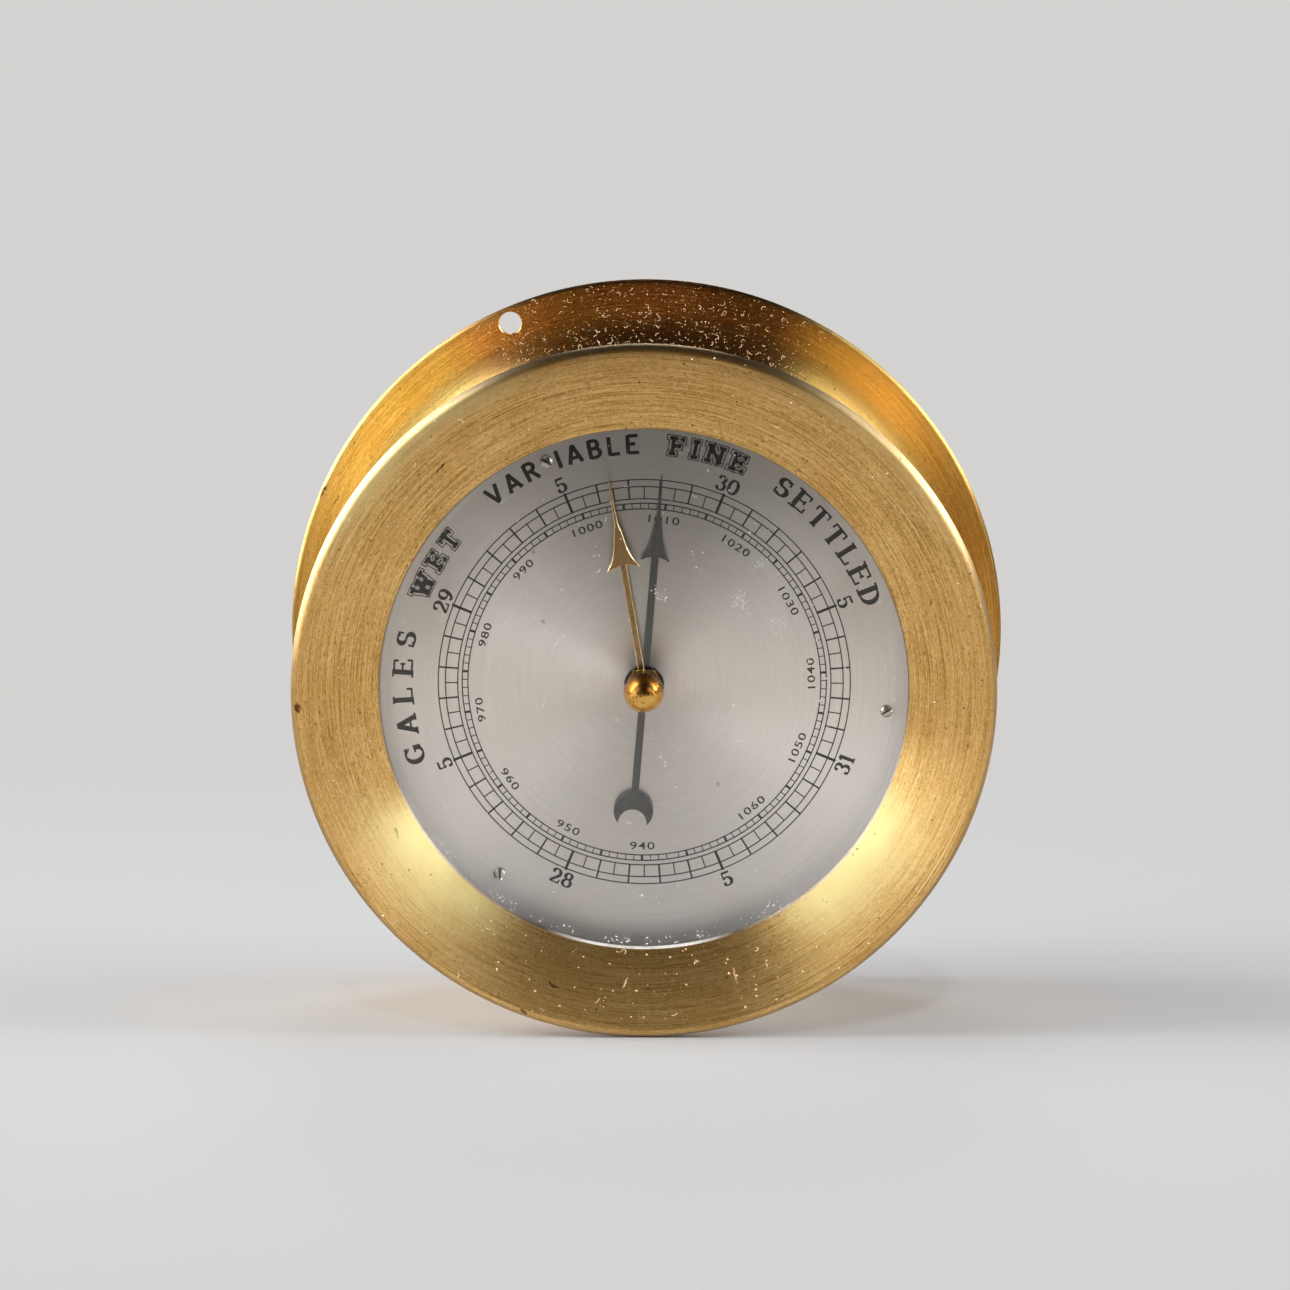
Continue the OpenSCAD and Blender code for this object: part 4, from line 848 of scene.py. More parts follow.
# A plate: an outline carried through three heights and pulled in at the upper one. Each point moves
# along the mean of its two edge normals, by less than a third of the way to the far side
def platePoints(outline, low, turn):
    s = handShape
    after, before = np.roll(outline, -1, axis=0), np.roll(outline, 1, axis=0)
    normals = [np.stack([d[:, 1], -d[:, 0]], axis=1) / np.linalg.norm(d, axis=1)[:, None]
               for d in (after - outline, outline - before)]
    mean = normals[0] + normals[1]
    mean /= np.linalg.norm(mean, axis=1)[:, None]
    mean *= np.sign(np.sum(outline[:, 0] * after[:, 1] - after[:, 0] * outline[:, 1]))
    sharpness = np.clip(np.abs(np.sum(mean * normals[0], axis=1)), s["bluntest"], 1)
    apart = outline[None] - outline[:, None]
    gap = np.linalg.norm(apart, axis=2)
    inwards = -np.einsum("ijk,ik->ij", apart, mean) > s["facing"] * gap
    room = np.min(np.where(inwards & (gap > 1e-6), gap, s["farthest"]), axis=1)
    inner = outline - mean * np.minimum(s["inset"] / sharpness, s["mostInset"] * room)[:, None]
    top = low + s["thickness"]
    rings = [(outline, low), (outline, top - s["bevel"]), (inner, top)]
    a = math.radians(turn)
    turned = np.array([[math.cos(a), -math.sin(a)], [math.sin(a), math.cos(a)]])
    flat = np.vstack([ring @ turned for ring, _ in rings])
    height = np.repeat([h for _, h in rings], len(outline))
    points = np.stack([flat[:, 0], -height, flat[:, 1]], axis=1) * mm
    index = np.arange(3 * len(outline)).reshape(3, -1)
    return points, [gridCells(index).reshape(-1, 4), index[0][::-1][None], index[2][None]]


# A hand cut from plate. The second ring of its sides is the filed edge, which may have a paler metal as its
# painted highlight
def addPlate(name, outline, low, turn, material, body, replaces, edge=None):
    points, faces = platePoints(outline, low, turn)
    piece = makePiece(name, points, faces, material, body, replaces, smooth=False)
    if edge:
        piece.data.materials.append(edge)
        filed = np.arange(len(piece.data.polygons)) // len(outline) == 1
        piece.data.polygons.foreach_set("material_index", filed.astype(int))


s = setHandShape
low, high, bore = backOf("set_hand"), frontOf("set_hand"), knobShape["bore"]
setHalf = np.vstack([arrowHalf(s), [[s["stem"] / 2, s["foot"]]]])
addPlate("setHandBlade", wholeOf(setHalf), low + s["lift"], s["turn"], handBrass, "set_hand",
         ["set_hand"], handEdgeHighlight)
hubSides = soften([[bore, low], [s["hub"], low], [s["hub"], high], [bore, high]], s["hubRound"], 3) * mm
lathe("setHandHub", hubSides, s["columns"], handBrass, "set_hand")

# The pointer's half: arrow, disc about the arbor, and a crescent between two circles that cross
s = pointerShape
meet = math.degrees(math.asin(s["bar"] / s["disc"]))
crossY = (s["bite"] ** 2 - s["crescent"] ** 2 - s["biteDrop"] ** 2) / (2 * s["biteDrop"])
crossX = math.sqrt(s["crescent"] ** 2 - crossY ** 2)
outerStart = math.degrees(math.acos(s["bar"] / s["crescent"]))
outerEnd = math.degrees(math.atan2(crossY, crossX))
innerStart = math.degrees(math.atan2(crossY + s["biteDrop"], crossX))
discSteps, outerSteps, innerSteps = s["steps"]
pointerHalf = np.vstack([arrowHalf(s), arc((0, 0), s["disc"], 90 - meet, meet - 90, discSteps),
                         arc((0, s["tail"]), s["crescent"], outerStart, outerEnd, outerSteps),
                         arc((0, s["tail"] - s["biteDrop"]), s["bite"], innerStart, 90, innerSteps)[1:]])
pointerHalf[-1, 0] = 0
addPlate("pointerHand", wholeOf(pointerHalf), backOf("pointer"), s["turn"], pointerBlue, "pointer",
         ["pointer"])
print("hands filed")


# Printing on the dial, in mm and degrees. Each scale is given by its rings
printing = {"height": 0.025, "sunk": 0.01, "inch": (40.54, 43.20, 44.76), "millibar": (38.33, 39.55),
            "line": 0.26, "tenthLine": 0.38, "boldLine": 0.58, "fineLine": 0.2, "lowestTurn": 202.5,
            "firstMillibar": 948.2, "turnPerMillibar": 2.658, "numeralRing": 47.1, "smallRing": 36.2,
            "smallSize": 2.35, "smallBold": 0.02, "smallStretch": 1.45, "smallMiddle": 0.36,
            "upright": (960, 1040), "wordRing": 52.5, "columns": 360}
inkLow, inkHigh = frontOf("dial") - printing["sunk"], frontOf("dial") + printing["height"]


# Flat rings: the two edges of each line at two heights, carried round in even steps
def inkRing(radius, width):
    columns, inner, outer = printing["columns"], radius - width / 2, radius + width / 2
    profile = np.array([[inner, inkLow], [outer, inkLow], [outer, inkHigh], [inner, inkHigh]]) * mm
    index = np.arange(4 * columns).reshape(4, columns)
    return spin(profile, columns), gridCells(index, True).reshape(-1, 4)


# Sets flat points down on the dial, x across and r outwards, turned by a:
# (r sin a + x cos a, -h, r cos a - x sin a)
def setDown(x, r, a, h):
    x, r, a, h = np.broadcast_arrays(x, r, a, h)
    return np.stack([r * np.sin(a) + x * np.cos(a), -h, r * np.cos(a) - x * np.sin(a)], axis=-1) * mm


# Straight ticks: for each angle, the eight corners of a bar from one radius to the other
def inkTicks(turns, inner, outer, width):
    a = np.radians(np.asarray(turns, float))[:, None]
    across = np.array([-1, 1, 1, -1] * 2) * width / 2
    along, high = np.array([inner, inner, outer, outer] * 2), np.array([inkLow] * 4 + [inkHigh] * 4)
    box = np.array([[0, 3, 2, 1], [4, 5, 6, 7], [0, 1, 5, 4], [1, 2, 6, 5], [2, 3, 7, 6], [3, 0, 4, 7]])
    return (setDown(across, along, a, high).reshape(-1, 3),
            (box[None] + 8 * np.arange(len(a))[:, None, None]).reshape(-1, 4))


# Many small shapes as one: points stacked, and face numbers moved on by the points before them
def joinShapes(shapes):
    offsets = np.cumsum([0] + [len(points) for points, _ in shapes])
    return (np.vstack([points for points, _ in shapes]),
            np.vstack([faces + offset for (_, faces), offset in zip(shapes, offsets)]))


# Printed lines or letters as one piece with flat faces
def inkPiece(name, shapes, material):
    points, faces = joinShapes(shapes)
    makePiece(name, points, [faces], material, "case", smooth=False)


# The turn at which a value of the inner scale stands
def millibarTurn(value):
    return printing["lowestTurn"] + (value - printing["firstMillibar"]) * printing["turnPerMillibar"]


p = printing
inchTurns = p["lowestTurn"] + np.arange(0, 360, 4.5)
millibars = np.arange(937, 1072)
inkPiece("scaleLines", [inkRing(r, p["line"]) for r in p["inch"] + p["millibar"]] + [
    inkTicks(inchTurns[::2], p["inch"][0], p["inch"][2], p["tenthLine"]),
    inkTicks(inchTurns[1::2], p["inch"][0], p["inch"][1], p["line"]),
    inkTicks(inchTurns[::10], p["inch"][0], p["inch"][2] + 0.3, p["boldLine"]),
    inkTicks(millibarTurn(millibars[millibars % 5 > 0]), *p["millibar"], p["fineLine"]),
    inkTicks(millibarTurn(millibars[millibars % 5 == 0]), *p["millibar"], p["boldLine"] * 0.9)], printInk)


# A word of plain type as flat coordinates with a thickness: x along the line, y up, z out
def plainType(text, size, bold):
    curve = bpy.data.curves.new("type", "FONT")
    curve.body, curve.size, curve.extrude, curve.offset = text, size, 1.0, bold
    curve.resolution_u, curve.space_character = 5, 1.12
    holder = bpy.data.objects.new("type", curve)
    scene.collection.objects.link(holder)
    mesh = bpy.data.meshes.new_from_object(holder.evaluated_get(bpy.context.evaluated_depsgraph_get()))
    flat = np.zeros(len(mesh.vertices) * 3)
    mesh.vertices.foreach_get("co", flat)
    faces = [list(polygon.vertices) for polygon in mesh.polygons]
    bpy.data.objects.remove(holder)
    bpy.data.curves.remove(curve)
    bpy.data.meshes.remove(mesh)
    return flat.reshape(-1, 3), faces


# Numbers in plain type round the dial: each is centred on its own box and turned to its angle, and
# those of the lower half have their feet outside
def typePiece(name, values):
    points, faces, offset, size = [], [], 0, p["smallSize"]
    for value in values:
        flat, polygons = plainType(str(value), size, p["smallBold"])
        middle = (flat.min(axis=0) + flat.max(axis=0)) / 2
        sign = 1 if p["upright"][0] < value < p["upright"][1] else -1
        x = sign * (flat[:, 0] - middle[0]) * p["smallStretch"]
        y = sign * (flat[:, 1] - size * p["smallMiddle"])
        high = np.where(flat[:, 2] > 0, inkHigh, inkLow)
        points.append(setDown(x, p["smallRing"] + y, math.radians(millibarTurn(value)), high))
        faces += [[v + offset for v in polygon] for polygon in polygons]
        offset += len(flat)
    mesh = bpy.data.meshes.new(name)
    mesh.from_pydata(np.vstack(points).tolist(), [], faces)
    edit = bmesh.new()
    edit.from_mesh(mesh)
    bmesh.ops.remove_doubles(edit, verts=edit.verts, dist=1e-7)
    bmesh.ops.recalc_face_normals(edit, faces=edit.faces)
    edit.to_mesh(mesh)
    edit.free()
    addPiece(name, mesh, printInk, "case")


typePiece("millibarNumerals", range(940, 1061, 10))

# Letters drawn with a broad pen, each in a box one high: its width, strokes, slabs, ticks and balls,
# as far as it has them. A stroke is made of points (x, y) and of arcs (x, y, two radii, two angles in
# degrees), a slab is the foot or cap of a stem, a tick is a thin upright (x, top, foot) and a ball
# ends a curve
stem, stemEnds, capArm = [(0.18, 0), (0.18, 1)], [(0.12, 0), (0.12, 1)], [(0.18, 0.96), (0.7, 0.96)]
penLetters = {
    "A": (0.86, [[(0.1, 0), (0.43, 1)], [(0.43, 1), (0.76, 0)], [(0.2, 0.3), (0.66, 0.3)]],
          [(0.1, 0), (0.76, 0)]),
    "B": (0.8, [stem, [(0.18, 0.96), (0.4, 0.74, 0.22, 0.22, 90, -90), (0.18, 0.52)],
                [(0.18, 0.52), (0.43, 0.28, 0.25, 0.24, 90, -90), (0.18, 0.04)]], stemEnds),
    "D": (0.84, [stem, [(0.18, 0.96), (0.34, 0.5, 0.4, 0.46, 90, -90), (0.18, 0.04)]], stemEnds),
    "E": (0.8, [stem, capArm, [(0.18, 0.52), (0.56, 0.52)], [(0.18, 0.04), (0.74, 0.04)]], stemEnds,
          [(0.7, 0.98, 0.74), (0.56, 0.64, 0.4), (0.74, 0.28, 0.02)]),
    "F": (0.76, [stem, capArm, [(0.18, 0.52), (0.54, 0.52)]], [(0.18, 0), (0.12, 1)],
          [(0.7, 0.98, 0.72), (0.54, 0.64, 0.4)]),
    "G": (0.88, [[(0.46, 0.5, 0.36, 0.46, 42, 322)], [(0.74, 0.42), (0.74, 0.08)]], [(0.7, 0.42)],
          [(0.74, 0.98, 0.7)]),
    "I": (0.4, [[(0.2, 0), (0.2, 1)]], [(0.2, 0), (0.2, 1)]),
    "L": (0.74, [stem, [(0.18, 0.04), (0.68, 0.04)]], [(0.12, 0), (0.18, 1)], [(0.68, 0.3, 0.02)]),
    "N": (0.96, [[(0.16, 0), (0.16, 1)], [(0.18, 0.98), (0.78, 0.02)], [(0.8, 0), (0.8, 1)]],
          [(0.16, 0), (0.1, 1), (0.8, 1)]),
    "R": (0.86, [stem, [(0.18, 0.96), (0.42, 0.74, 0.23, 0.22, 90, -90), (0.18, 0.52)],
                 [(0.42, 0.52), (0.74, 0)]], [(0.18, 0), (0.12, 1), (0.76, 0)]),
    "S": (0.74, [[(0.37, 0.73, 0.23, 0.22, 35, 270), (0.38, 0.28, 0.25, 0.23, 90, -145)]], [],
          [(0.62, 0.96, 0.68), (0.1, 0.34, 0.04)]),
    "T": (0.84, [[(0.42, 0), (0.42, 1)], [(0.06, 0.96), (0.78, 0.96)]], [(0.42, 0)],
          [(0.06, 0.98, 0.7), (0.78, 0.98, 0.7)]),
    "V": (0.86, [[(0.1, 1), (0.43, 0)], [(0.43, 0), (0.76, 1)]], [(0.1, 1), (0.76, 1)]),
    "W": (1.22, [[(0.1, 1), (0.36, 0)], [(0.36, 0), (0.61, 0.95)], [(0.61, 0.95), (0.86, 0)],
                 [(0.86, 0), (1.12, 1)]], [(0.1, 1), (1.12, 1), (0.61, 0.97)]),
    "0": (0.74, [[(0.37, 0.5, 0.27, 0.46, 90, 450)]]),
    "1": (0.5, [[(0.28, 0), (0.28, 0.98)], [(0.08, 0.8), (0.28, 0.97)]], [(0.28, 0)]),
    "2": (0.72, [[(0.34, 0.7, 0.24, 0.27, 160, -30), (0.1, 0.08)], [(0.08, 0.08), (0.64, 0.08)]], [],
          [(0.64, 0.3, 0.04)], [(0.15, 0.76)]),
    "3": (0.7, [[(0.32, 0.75, 0.21, 0.21, 150, -90)], [(0.33, 0.28, 0.25, 0.25, 90, -150)]], [], [],
          [(0.16, 0.82), (0.14, 0.2)]),
    "5": (0.7, [[(0.14, 0.93), (0.6, 0.93)], [(0.14, 0.87), (0.58, 0.87)],
                [(0.33, 0.3, 0.26, 0.27, 140, -150)]], [], [(0.14, 0.93, 0.46)], [(0.14, 0.2)]),
    "8": (0.74, [[(0.37, 0.75, 0.2, 0.2, 0, 360)], [(0.37, 0.28, 0.25, 0.24, 0, 360)]]),
    "9": (0.74, [[(0.37, 0.67, 0.25, 0.28, 0, 360)], [(0.2, 0.64, 0.42, 0.6, 0, -78)]], [], [],
          [(0.27, 0.12)])}
# Hands of the pen: size in mm, stretch, thick and thin stroke, whether it has slabs, and the growth
# of an outline and of the pale band in it
penHands = {
    "slab": {"size": 4.2, "stretch": 1.14, "thick": 0.235, "thin": 0.1, "slabs": True, "outline": None},
    "plain": {"size": 4.0, "stretch": 1.06, "thick": 0.215, "thin": 0.19, "slabs": False, "outline": None},
    "outlined": {"size": 3.5, "stretch": 1.15, "thick": 0.2, "thin": 0.09, "slabs": True,
                 "outline": (0.3, 0.19)},
    "numeral": {"size": 3.35, "stretch": 1.06, "thick": 0.215, "thin": 0.09, "slabs": True,
                "outline": None}}
# Each word with the turns where it starts and ends. One is split about the dial's upper screw
weatherWords = (("GALES", 250.0, 282.5, "slab"), ("WET", 291.5, 308.5, "outlined"),
                ("VAR", 320.0, 334.2, "plain"), ("IABLE", 338.4, 359.0, "plain"),
                ("FINE", 6.0, 24.5, "outlined"), ("SETTLED", 33.0, 70.5, "slab"))


# Points along a stroke: given points as they are, arcs as centre + (rx cos t, ry sin t)
def penPath(stroke):
    points = []
    for part in stroke:
        if len(part) == 2:
            points.append(part)
        else:
            x, y, rx, ry, a, b = part
            t = np.radians(np.linspace(a, b, max(4, int(abs(b - a) / 14))))
            points += list(zip(x + rx * np.cos(t), y + ry * np.sin(t)))
    return np.array(points, float)


# A stroke as a flat bar along its path: width = thin + (thick - thin) x steepness ^ swell + grow,
# with four corners at each point and a cap at each end
def penBar(path, thin, thick, grow, low, high):
    d = np.gradient(path, axis=0)
    d /= np.linalg.norm(d, axis=1)[:, None]
    path = path.copy()
    path[0] -= d[0] * grow / 2
    path[-1] += d[-1] * grow / 2
    swell = 1.3
    width = thin + (thick - thin) * np.abs(d[:, 1]) ** swell + grow
    side = np.stack([-d[:, 1], d[:, 0]], axis=1) * width[:, None] / 2
    rows = [(path + side, low), (path - side, low), (path - side, high), (path + side, high)]
    points = np.vstack([np.column_stack([flat, np.full(len(path), h)]) for flat, h in rows])
    index = np.arange(len(points)).reshape(4, -1)
    return points, np.vstack([gridCells(index, True)[:, :-1].reshape(-1, 4), index[:, 0][None],
                              index[::-1, -1][None]])


# One letter of a hand as bars. Grow widens every bar, which makes the outlines
def penLetter(letter, hand, grow, low, high):
    _, strokes, slabs, ticks, balls = (*penLetters[letter], [], [], [])[:5]
    thin, thick, slabHalf, ballSize = hand["thin"], hand["thick"], 0.17, 0.045
    bars = [(penPath(stroke), thin, thick) for stroke in strokes]
    if hand["slabs"]:
        bars += [(np.array([[x - slabHalf, y], [x + slabHalf, y]]), thin, thin) for x, y in slabs]
        bars += [(np.array([[x, top], [x, foot]]), thin, thin) for x, top, foot in ticks]
        bars += [(penPath([(x, y, ballSize, ballSize, 0, 360)]), ballSize * 2, ballSize * 2)
                 for x, y in balls]
    return joinShapes([penBar(*bar, grow, low, high) for bar in bars])


# Sets a word round the dial, spread over a width on the ring. Outward words have their feet outside
def penWord(word, middle, room, ring, hand, grow, high, outward=False):
    wide = np.array([penLetters[c][0] for c in word]) * hand["size"] * hand["stretch"]
    gap = (room - wide.sum()) / max(1, len(word) - 1) if room else hand["size"] * 0.04
    total = wide.sum() + gap * (len(word) - 1)
    centres = np.cumsum(wide) - wide / 2 + gap * np.arange(len(word)) - total / 2
    shapes, sign = [], -1 if outward else 1
    for c, x in zip(word, centres):
        points, faces = penLetter(c, hand, grow, inkLow, high)
        across = sign * (points[:, 0] - penLetters[c][0] / 2) * hand["size"] * hand["stretch"]
        r = ring + sign * (points[:, 1] - 0.5) * hand["size"]
        shapes.append((setDown(across, r, math.radians(middle) + sign * x / ring, points[:, 2]), faces))
    return joinShapes(shapes)


words, halos, layer = [], [], 0.006
for word, start, end, kind in weatherWords:
    hand, room = penHands[kind], math.radians(end - start) * p["wordRing"]
    place = (word, (start + end) / 2, room, p["wordRing"], hand)
    top = inkHigh
    if hand["outline"]:
        outer, inner = hand["outline"]
        words.append(penWord(*place, outer, inkHigh))
        halos.append(penWord(*place, inner, inkHigh + layer))
        top = inkHigh + 2 * layer
    words.append(penWord(*place, 0.0, top))
inkPiece("weatherWords", words, printInk)
inkPiece("wordHalos", halos, dialSilver)
inchLabels = ("28", "5", "29", "5", "30", "5", "31", "5")
inkPiece("inchNumerals", [penWord(label, p["lowestTurn"] + 45 * k, 0, p["numeralRing"], penHands["numeral"],
                                  0.0, inkHigh, label in ("28", "31") or k == 7)
                          for k, label in enumerate(inchLabels)], printInk)
print("dial printed")


# Dust and fibres. Each bed: what lies there and on what ground, how many specks and fibres, their
# span in degrees from the top, radii and sizes in mm, and how they lean to the outer radius
dustBeds = {
    "flangeDust": {"stuff": crumbDust, "ground": "flare", "slot": "brushed_brass", "count": 620,
                   "turns": (-29, 31), "radii": (64.5, 79.8), "lean": 0.8, "size": (0.07, 0.18),
                   "fibres": 95, "bend": (0.2, 0.7), "thick": 0.052},
    "flangeGlints": {"stuff": glintBrass, "ground": "flare", "slot": "brushed_brass", "count": 620,
                     "turns": (-33, 33), "radii": (64.5, 80.0), "lean": 0.8, "size": (0.07, 0.17),
                     "fibres": 20, "bend": (0.25, 0.9), "thick": 0.04},
    "bezelDust": {"stuff": paleDust, "ground": "dish", "slot": "brushed_brass", "count": 120,
                  "turns": (-180, 180), "radii": (57.8, 75.0), "lean": 1.0, "size": (0.08, 0.24),
                  "fibres": 9, "bend": (0.35, 1.6), "thick": 0.055},
    "bezelCrumbs": {"stuff": crumbDust, "ground": "dish", "slot": "brushed_brass", "count": 75,
                    "turns": (138, 214), "radii": (57.8, 74.4), "lean": 0.8, "size": (0.13, 0.36),
                    "fibres": 12, "bend": (0.3, 1.1), "thick": 0.085},
    "glassDust": {"stuff": whiteDust, "ground": "glass", "slot": "glass", "count": 210,
                  "turns": (-180, 180), "radii": (6, 56.3), "lean": None, "size": (0.11, 0.26),
                  "fibres": 26, "bend": (0.35, 1.6), "thick": 0.065},
    "sillDust": {"stuff": whiteDust, "ground": "glass", "slot": "glass", "count": 110,
                 "turns": (125, 235), "radii": (54.9, 56.8), "lean": 1.0, "size": (0.12, 0.34),
                 "fibres": 8, "bend": (0.35, 1.2), "thick": 0.07}}


# Height and outward slope of a ground under a radius: the flare's quarter circle, the face's line
# and swell, or the flat pane
def groundUnder(ground, r):
    if ground == "flare":
        _, bandR, cove = flareSizes()
        inside = np.clip(bandR - r, 0, cove * 0.98)
        depth = np.sqrt(cove ** 2 - inside ** 2)
        return caseShape["sheet"] + cove - depth, np.stack([inside, depth], axis=-1) / cove
    if ground == "dish":
        (r0, h0), (r1, h1) = bezelShape["dish"], bezelShape["dishOut"]
        slope, share = (h1 - h0) / (r1 - r0), (r - r0) / (r1 - r0)
        lean = np.array([-slope, 1.0]) / math.hypot(slope, 1)
        height = h0 + slope * (r - r0) + 4 * bezelShape["full"] * share * (1 - share)
        return height, np.broadcast_to(lean, (len(r), 2))
    return np.full(len(r), frontOf("glass")), np.broadcast_to(np.array([0.0, 1.0]), (len(r), 2))


speckShape = {"reach": (0.55, 1.25), "sink": 0.02, "tall": 1.1}
fibreShape = {"steps": 9, "sides": 5, "length": (0.6, 1.8), "mostBend": 4.6, "lift": 0.04}


# A speck is a low six-sided cone: six base points at uneven reach round its centre and one tip
def speckShapes(centre, normal, size):
    count = len(centre)
    sideways = np.cross(normal, np.array([0.3, 0.2, 0.93]))
    sideways /= np.linalg.norm(sideways, axis=1)[:, None]
    other = np.cross(normal, sideways)
    t = np.linspace(0, fullTurn, 7)[:-1] + rng.uniform(0, 6, (count, 1))
    reach = size[:, None] * rng.uniform(*speckShape["reach"], (count, 6))
    base = (centre[:, None] + (np.cos(t) * reach)[..., None] * sideways[:, None]
            + (np.sin(t) * reach)[..., None] * other[:, None] - normal[:, None] * speckShape["sink"])
    tip = centre + normal * size[:, None] * speckShape["tall"]
    points = np.concatenate([base, tip[:, None]], axis=1).reshape(-1, 3) * mm
    sides = [[k, (k + 1) % 6, 6] for k in range(6)]
    one = np.array(sides + [[5, 4, 3], [5, 3, 2], [5, 2, 1], [5, 1, 0]])
    return points, (one[None] + 7 * np.arange(count)[:, None, None]).reshape(-1, 3)


# A fibre is a five-sided tube along an arc that lies on the ground: centre line = foot + radius
# (cos t, sin t) in the plane, with the tube's ring round it and a point at each end
def fibreShapes(centre, normal, bends, thick):
    points, quads, ends, steps, sides = [], [], [], fibreShape["steps"], fibreShape["sides"]
    ring = np.linspace(0, fullTurn, sides + 1)[:-1]
    for foot, n in zip(centre, normal):
        u = np.cross(n, rng.normal(size=3))
        u /= np.linalg.norm(u)
        v = np.cross(n, u)
        bend, start, length = rng.uniform(*bends), rng.uniform(0, 6), rng.uniform(*fibreShape["length"])
        t = start + np.linspace(0, min(length / bend, fibreShape["mostBend"]), steps)
        out = np.cos(t)[:, None] * u + np.sin(t)[:, None] * v
        line = (foot + n * fibreShape["lift"] + bend * out
                - bend * (math.cos(start) * u + math.sin(start) * v))
        tube = line[:, None] + thick * (np.cos(ring)[None, :, None] * out[:, None]
                                        + np.sin(ring)[None, :, None] * n)
        index = np.arange(steps * sides).reshape(steps, sides) + len(points) * (steps * sides + 2)
        tail = np.full(sides, index[-1, -1] + 1)
        points.append(np.vstack([tube.reshape(-1, 3), line[:1], line[-1:]]) * mm)
        quads.append(gridCells(index).reshape(-1, 4))
        ends += [np.stack([index[0], tail, np.roll(index[0], -1)], axis=1),
                 np.stack([index[-1], np.roll(index[-1], -1), tail + 1], axis=1)]
    return np.vstack(points), np.vstack(quads), np.vstack(ends)


for name, bed in dustBeds.items():
    count, whole, (nearR, farR) = bed["count"], bed["count"] + bed["fibres"], bed["radii"]
    turn = np.radians(rng.uniform(*bed["turns"], whole))
    share = rng.uniform(0, 1, whole)
    if bed["lean"]:
        r = nearR + (farR - nearR) * share ** (1 / bed["lean"])
    else:  # even over the whole pane
        r = np.sqrt(nearR ** 2 + (farR ** 2 - nearR ** 2) * share)
    h, slope = groundUnder(bed["ground"], r)
    centre = polar(r, turn, h)
    normal = np.stack([slope[:, 0] * np.sin(turn), -slope[:, 1], slope[:, 0] * np.cos(turn)], axis=1)
    size = rng.uniform(0, 1, count) ** 2 * (bed["size"][1] - bed["size"][0]) + bed["size"][0]
    specks, speckFaces = speckShapes(centre[:count], normal[:count], size)
    tubes, tubeQuads, tubeEnds = fibreShapes(centre[count:], normal[count:], bed["bend"], bed["thick"])
    makePiece(name, np.vstack([specks, tubes]), [speckFaces, tubeQuads + len(specks), tubeEnds + len(specks)],
              bed["stuff"], "case")

# Crumbs in small heaps on the pane: middle (x, z), spread and count
heaps = ((20.7, 19.4, 0.9, 60), (29.3, 14.6, 0.8, 44), (3.0, 21.0, 0.6, 26), (24.5, 27.5, 0.7, 22))
spots = np.vstack([rng.normal((x, z), spread, (count, 2)) for x, z, spread, count in heaps])
centre = np.column_stack([spots[:, 0], np.full(len(spots), -frontOf("glass")), spots[:, 1]])
normal, size = np.tile([0.0, -1.0, 0.0], (len(spots), 1)), rng.uniform(0.07, 0.2, len(spots))
specks, speckFaces = speckShapes(centre, normal, size)
makePiece("glassCrumbs", specks, [speckFaces], whiteDust, "case")
print("dust settled")


# Stage: a paper floor that touches the rims of case and bezel, lamps and the camera. The rims are
# points (y, z) in mm, and glowRings say from where to where, in metres, the paper gains what share
# of its glow
stageShape = {"wallRim": (0.0, -80.75), "frontRim": (-72.8, -76.0), "radius": 6.0,
              "paper": (0.66, 0.652, 0.64), "warmPaper": (0.66, 0.60, 0.53),
              "lowPaper": (0.43, 0.427, 0.423), "highPaper": (0.44, 0.437, 0.433),
              "glowRings": ((0.1053, 0.109, 0.24), (0.109, 0.42, 0.76)), "mottleTint": 0.985,
              "paperRough": 0.8, "paperSheen": 0.2, "bounce": (-0.75, -0.35, 0.0, 1.08),
              "roomTone": (1.0, 0.86, 0.72), "roomGlow": (0.0, 0.5, 0.035, 0.02)}
cameraShape = {"distance": 1.2, "elevation": 11.38, "azimuth": 0.46, "lensPixels": 5580, "frame": 1290,
               "sensor": 36, "across": 0.26, "up": 10.6, "middle": (0, -0.073, 0)}
lampShape = {"distance": 1.6, "size": 0.55, "colour": (0.98, 1.0, 1.04), "aim": (0, -0.03, 0)}
# Each lamp: turn to the right of the front and height above the floor in degrees, and power
lamps = {"leftTop": (-85, 45, 11.4), "leftMiddle": (-80, 25, 14.3), "leftBack": (-100, 25, 6.5),
         "leftBackLow": (-100, 8, 12.5), "leftLow": (-85, 8, 5.8), "leftFrontTop": (-65, 45, 3.4),
         "leftFront": (-58, 8, 5.1), "leftNear": (-40, 25, 1.6), "rightTop": (85, 45, 5.2),
         "rightMiddle": (80, 25, 14.6), "rightBack": (100, 25, 7.0), "rightFront": (58, 8, 2.9),
         "rightNear": (40, 25, 1.8), "behind": (180, 40, 7.0)}


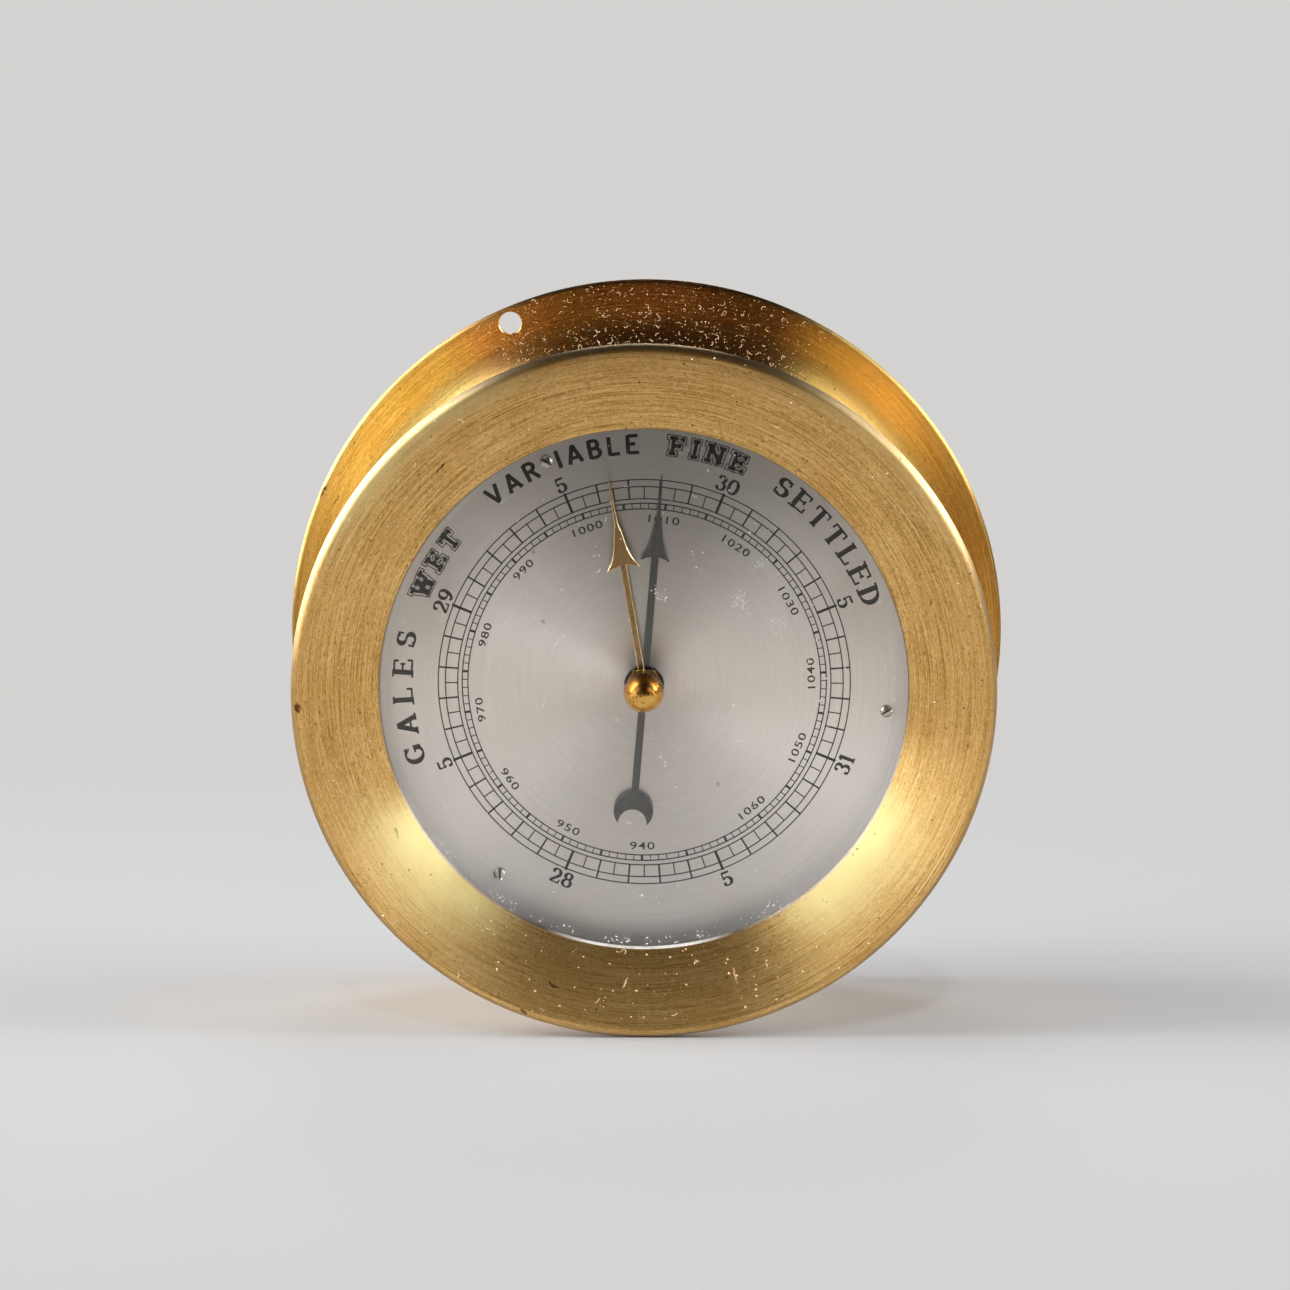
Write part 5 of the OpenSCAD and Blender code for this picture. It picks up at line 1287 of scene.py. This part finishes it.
# Paper that the lamps light near the piece and that glows by itself further away, as the camera and
# bright metal see it
def paperMaterial():
    s = stageShape
    material, shader, output, position = newMaterial("paper")
    tree = material.node_tree
    path = put(tree, "LightPath").outputs
    mottle = noise(position, 3.0, 3.0)
    feed(shader, {"Base Color": paint(mottle, s["lowPaper"], s["highPaper"]),
                  "Roughness": s["paperRough"], "Specular IOR Level": s["paperSheen"]})
    glow = put(tree, "Emission", {"Color": paint(mottle, tint(s["paper"], s["mottleTint"]), s["paper"]),
                                  "Strength": 1.0})
    dimGlow = put(tree, "Emission", {"Color": (*s["warmPaper"], 1),
                                     "Strength": ramp(axes(position)[1], *s["bounce"])})
    away = vector2("LENGTH", position)
    far = plus(*(ramp(away, near, end, 0.0, share) for near, end, share in s["glowRings"]))
    first = mixShader(times(path["Is Camera Ray"], far), shader, glow)
    bounced = math2("ADD", path["Is Glossy Ray"], path["Is Transmission Ray"], True)
    feed(output, {0: mixShader(times(bounced, far), first, dimGlow).outputs[0]})
    return material


# The floor is a square in the plane through both rims: z = z0 + slope (y - y0)
(y0, z0), (y1, z1) = stageShape["wallRim"], stageShape["frontRim"]
xs, ys = np.array([[-1, -1, 1, 1], [-1, 1, 1, -1]]) * stageShape["radius"]
corners = np.stack([xs, ys, z0 * mm + (z1 - z0) / (y1 - y0) * (ys - y0 * mm)], axis=1)
mesh = bpy.data.meshes.new("paperFloor")
mesh.from_pydata(corners.tolist(), [], [[0, 3, 2, 1]])
mesh.materials.append(paperMaterial())
floor = bpy.data.objects.new("paperFloor", mesh)
scene.collection.objects.link(floor)

world = scene.world or bpy.data.worlds.new("room")
scene.world = world
world.use_nodes = True
room = world.node_tree
room.nodes.clear()
upward = axes(put(room, "TexCoord").outputs["Generated"])[2]
dim = put(room, "Background", {"Color": (*stageShape["roomTone"], 1),
                               "Strength": ramp(upward, *stageShape["roomGlow"])})
pale = put(room, "Background", {"Color": (*stageShape["paper"], 1), "Strength": 1.0})
roomMix = mixShader(put(room, "LightPath").outputs["Is Camera Ray"], dim, pale)
put(room, "OutputWorld", {0: roomMix.outputs[0]})


# Direction at a turn to the right of the front and a height above the floor:
# (sin t cos h, -cos t cos h, sin h)
def direction(turn, height):
    t, h = math.radians(turn), math.radians(height)
    return Vector((math.sin(t) * math.cos(h), -math.cos(t) * math.cos(h), math.sin(h)))


# Hangs a lamp or the camera at a place and turns it along a line of sight
def hang(name, data, location, sight):
    thing = bpy.data.objects.new(name, data)
    thing.location = location
    thing.rotation_euler = sight.to_track_quat("-Z", "Y").to_euler()
    scene.collection.objects.link(thing)
    return thing


for name, (turn, height, power) in lamps.items():
    light = bpy.data.lights.new(name, "AREA")
    light.shape, light.size, light.energy = "SQUARE", lampShape["size"], power
    light.color = lampShape["colour"]
    towards = direction(turn, height)
    hang(name, light, Vector(lampShape["aim"]) + towards * lampShape["distance"], -towards)

c = cameraShape
towards, a = direction(c["azimuth"], c["elevation"]), math.radians(c["azimuth"])
side = Vector((math.cos(a), math.sin(a), 0))
middle = Vector(c["middle"])
lens = bpy.data.cameras.new("camera")
lens.sensor_width, lens.lens = c["sensor"], c["lensPixels"] * c["sensor"] / c["frame"]
eye = middle + towards * c["distance"]
aim = middle + side * c["across"] * mm + towards.cross(side) * c["up"] * mm
scene.camera = hang("camera", lens, eye, aim - eye)
scene.view_settings.view_transform = "Standard"
print("stage set")
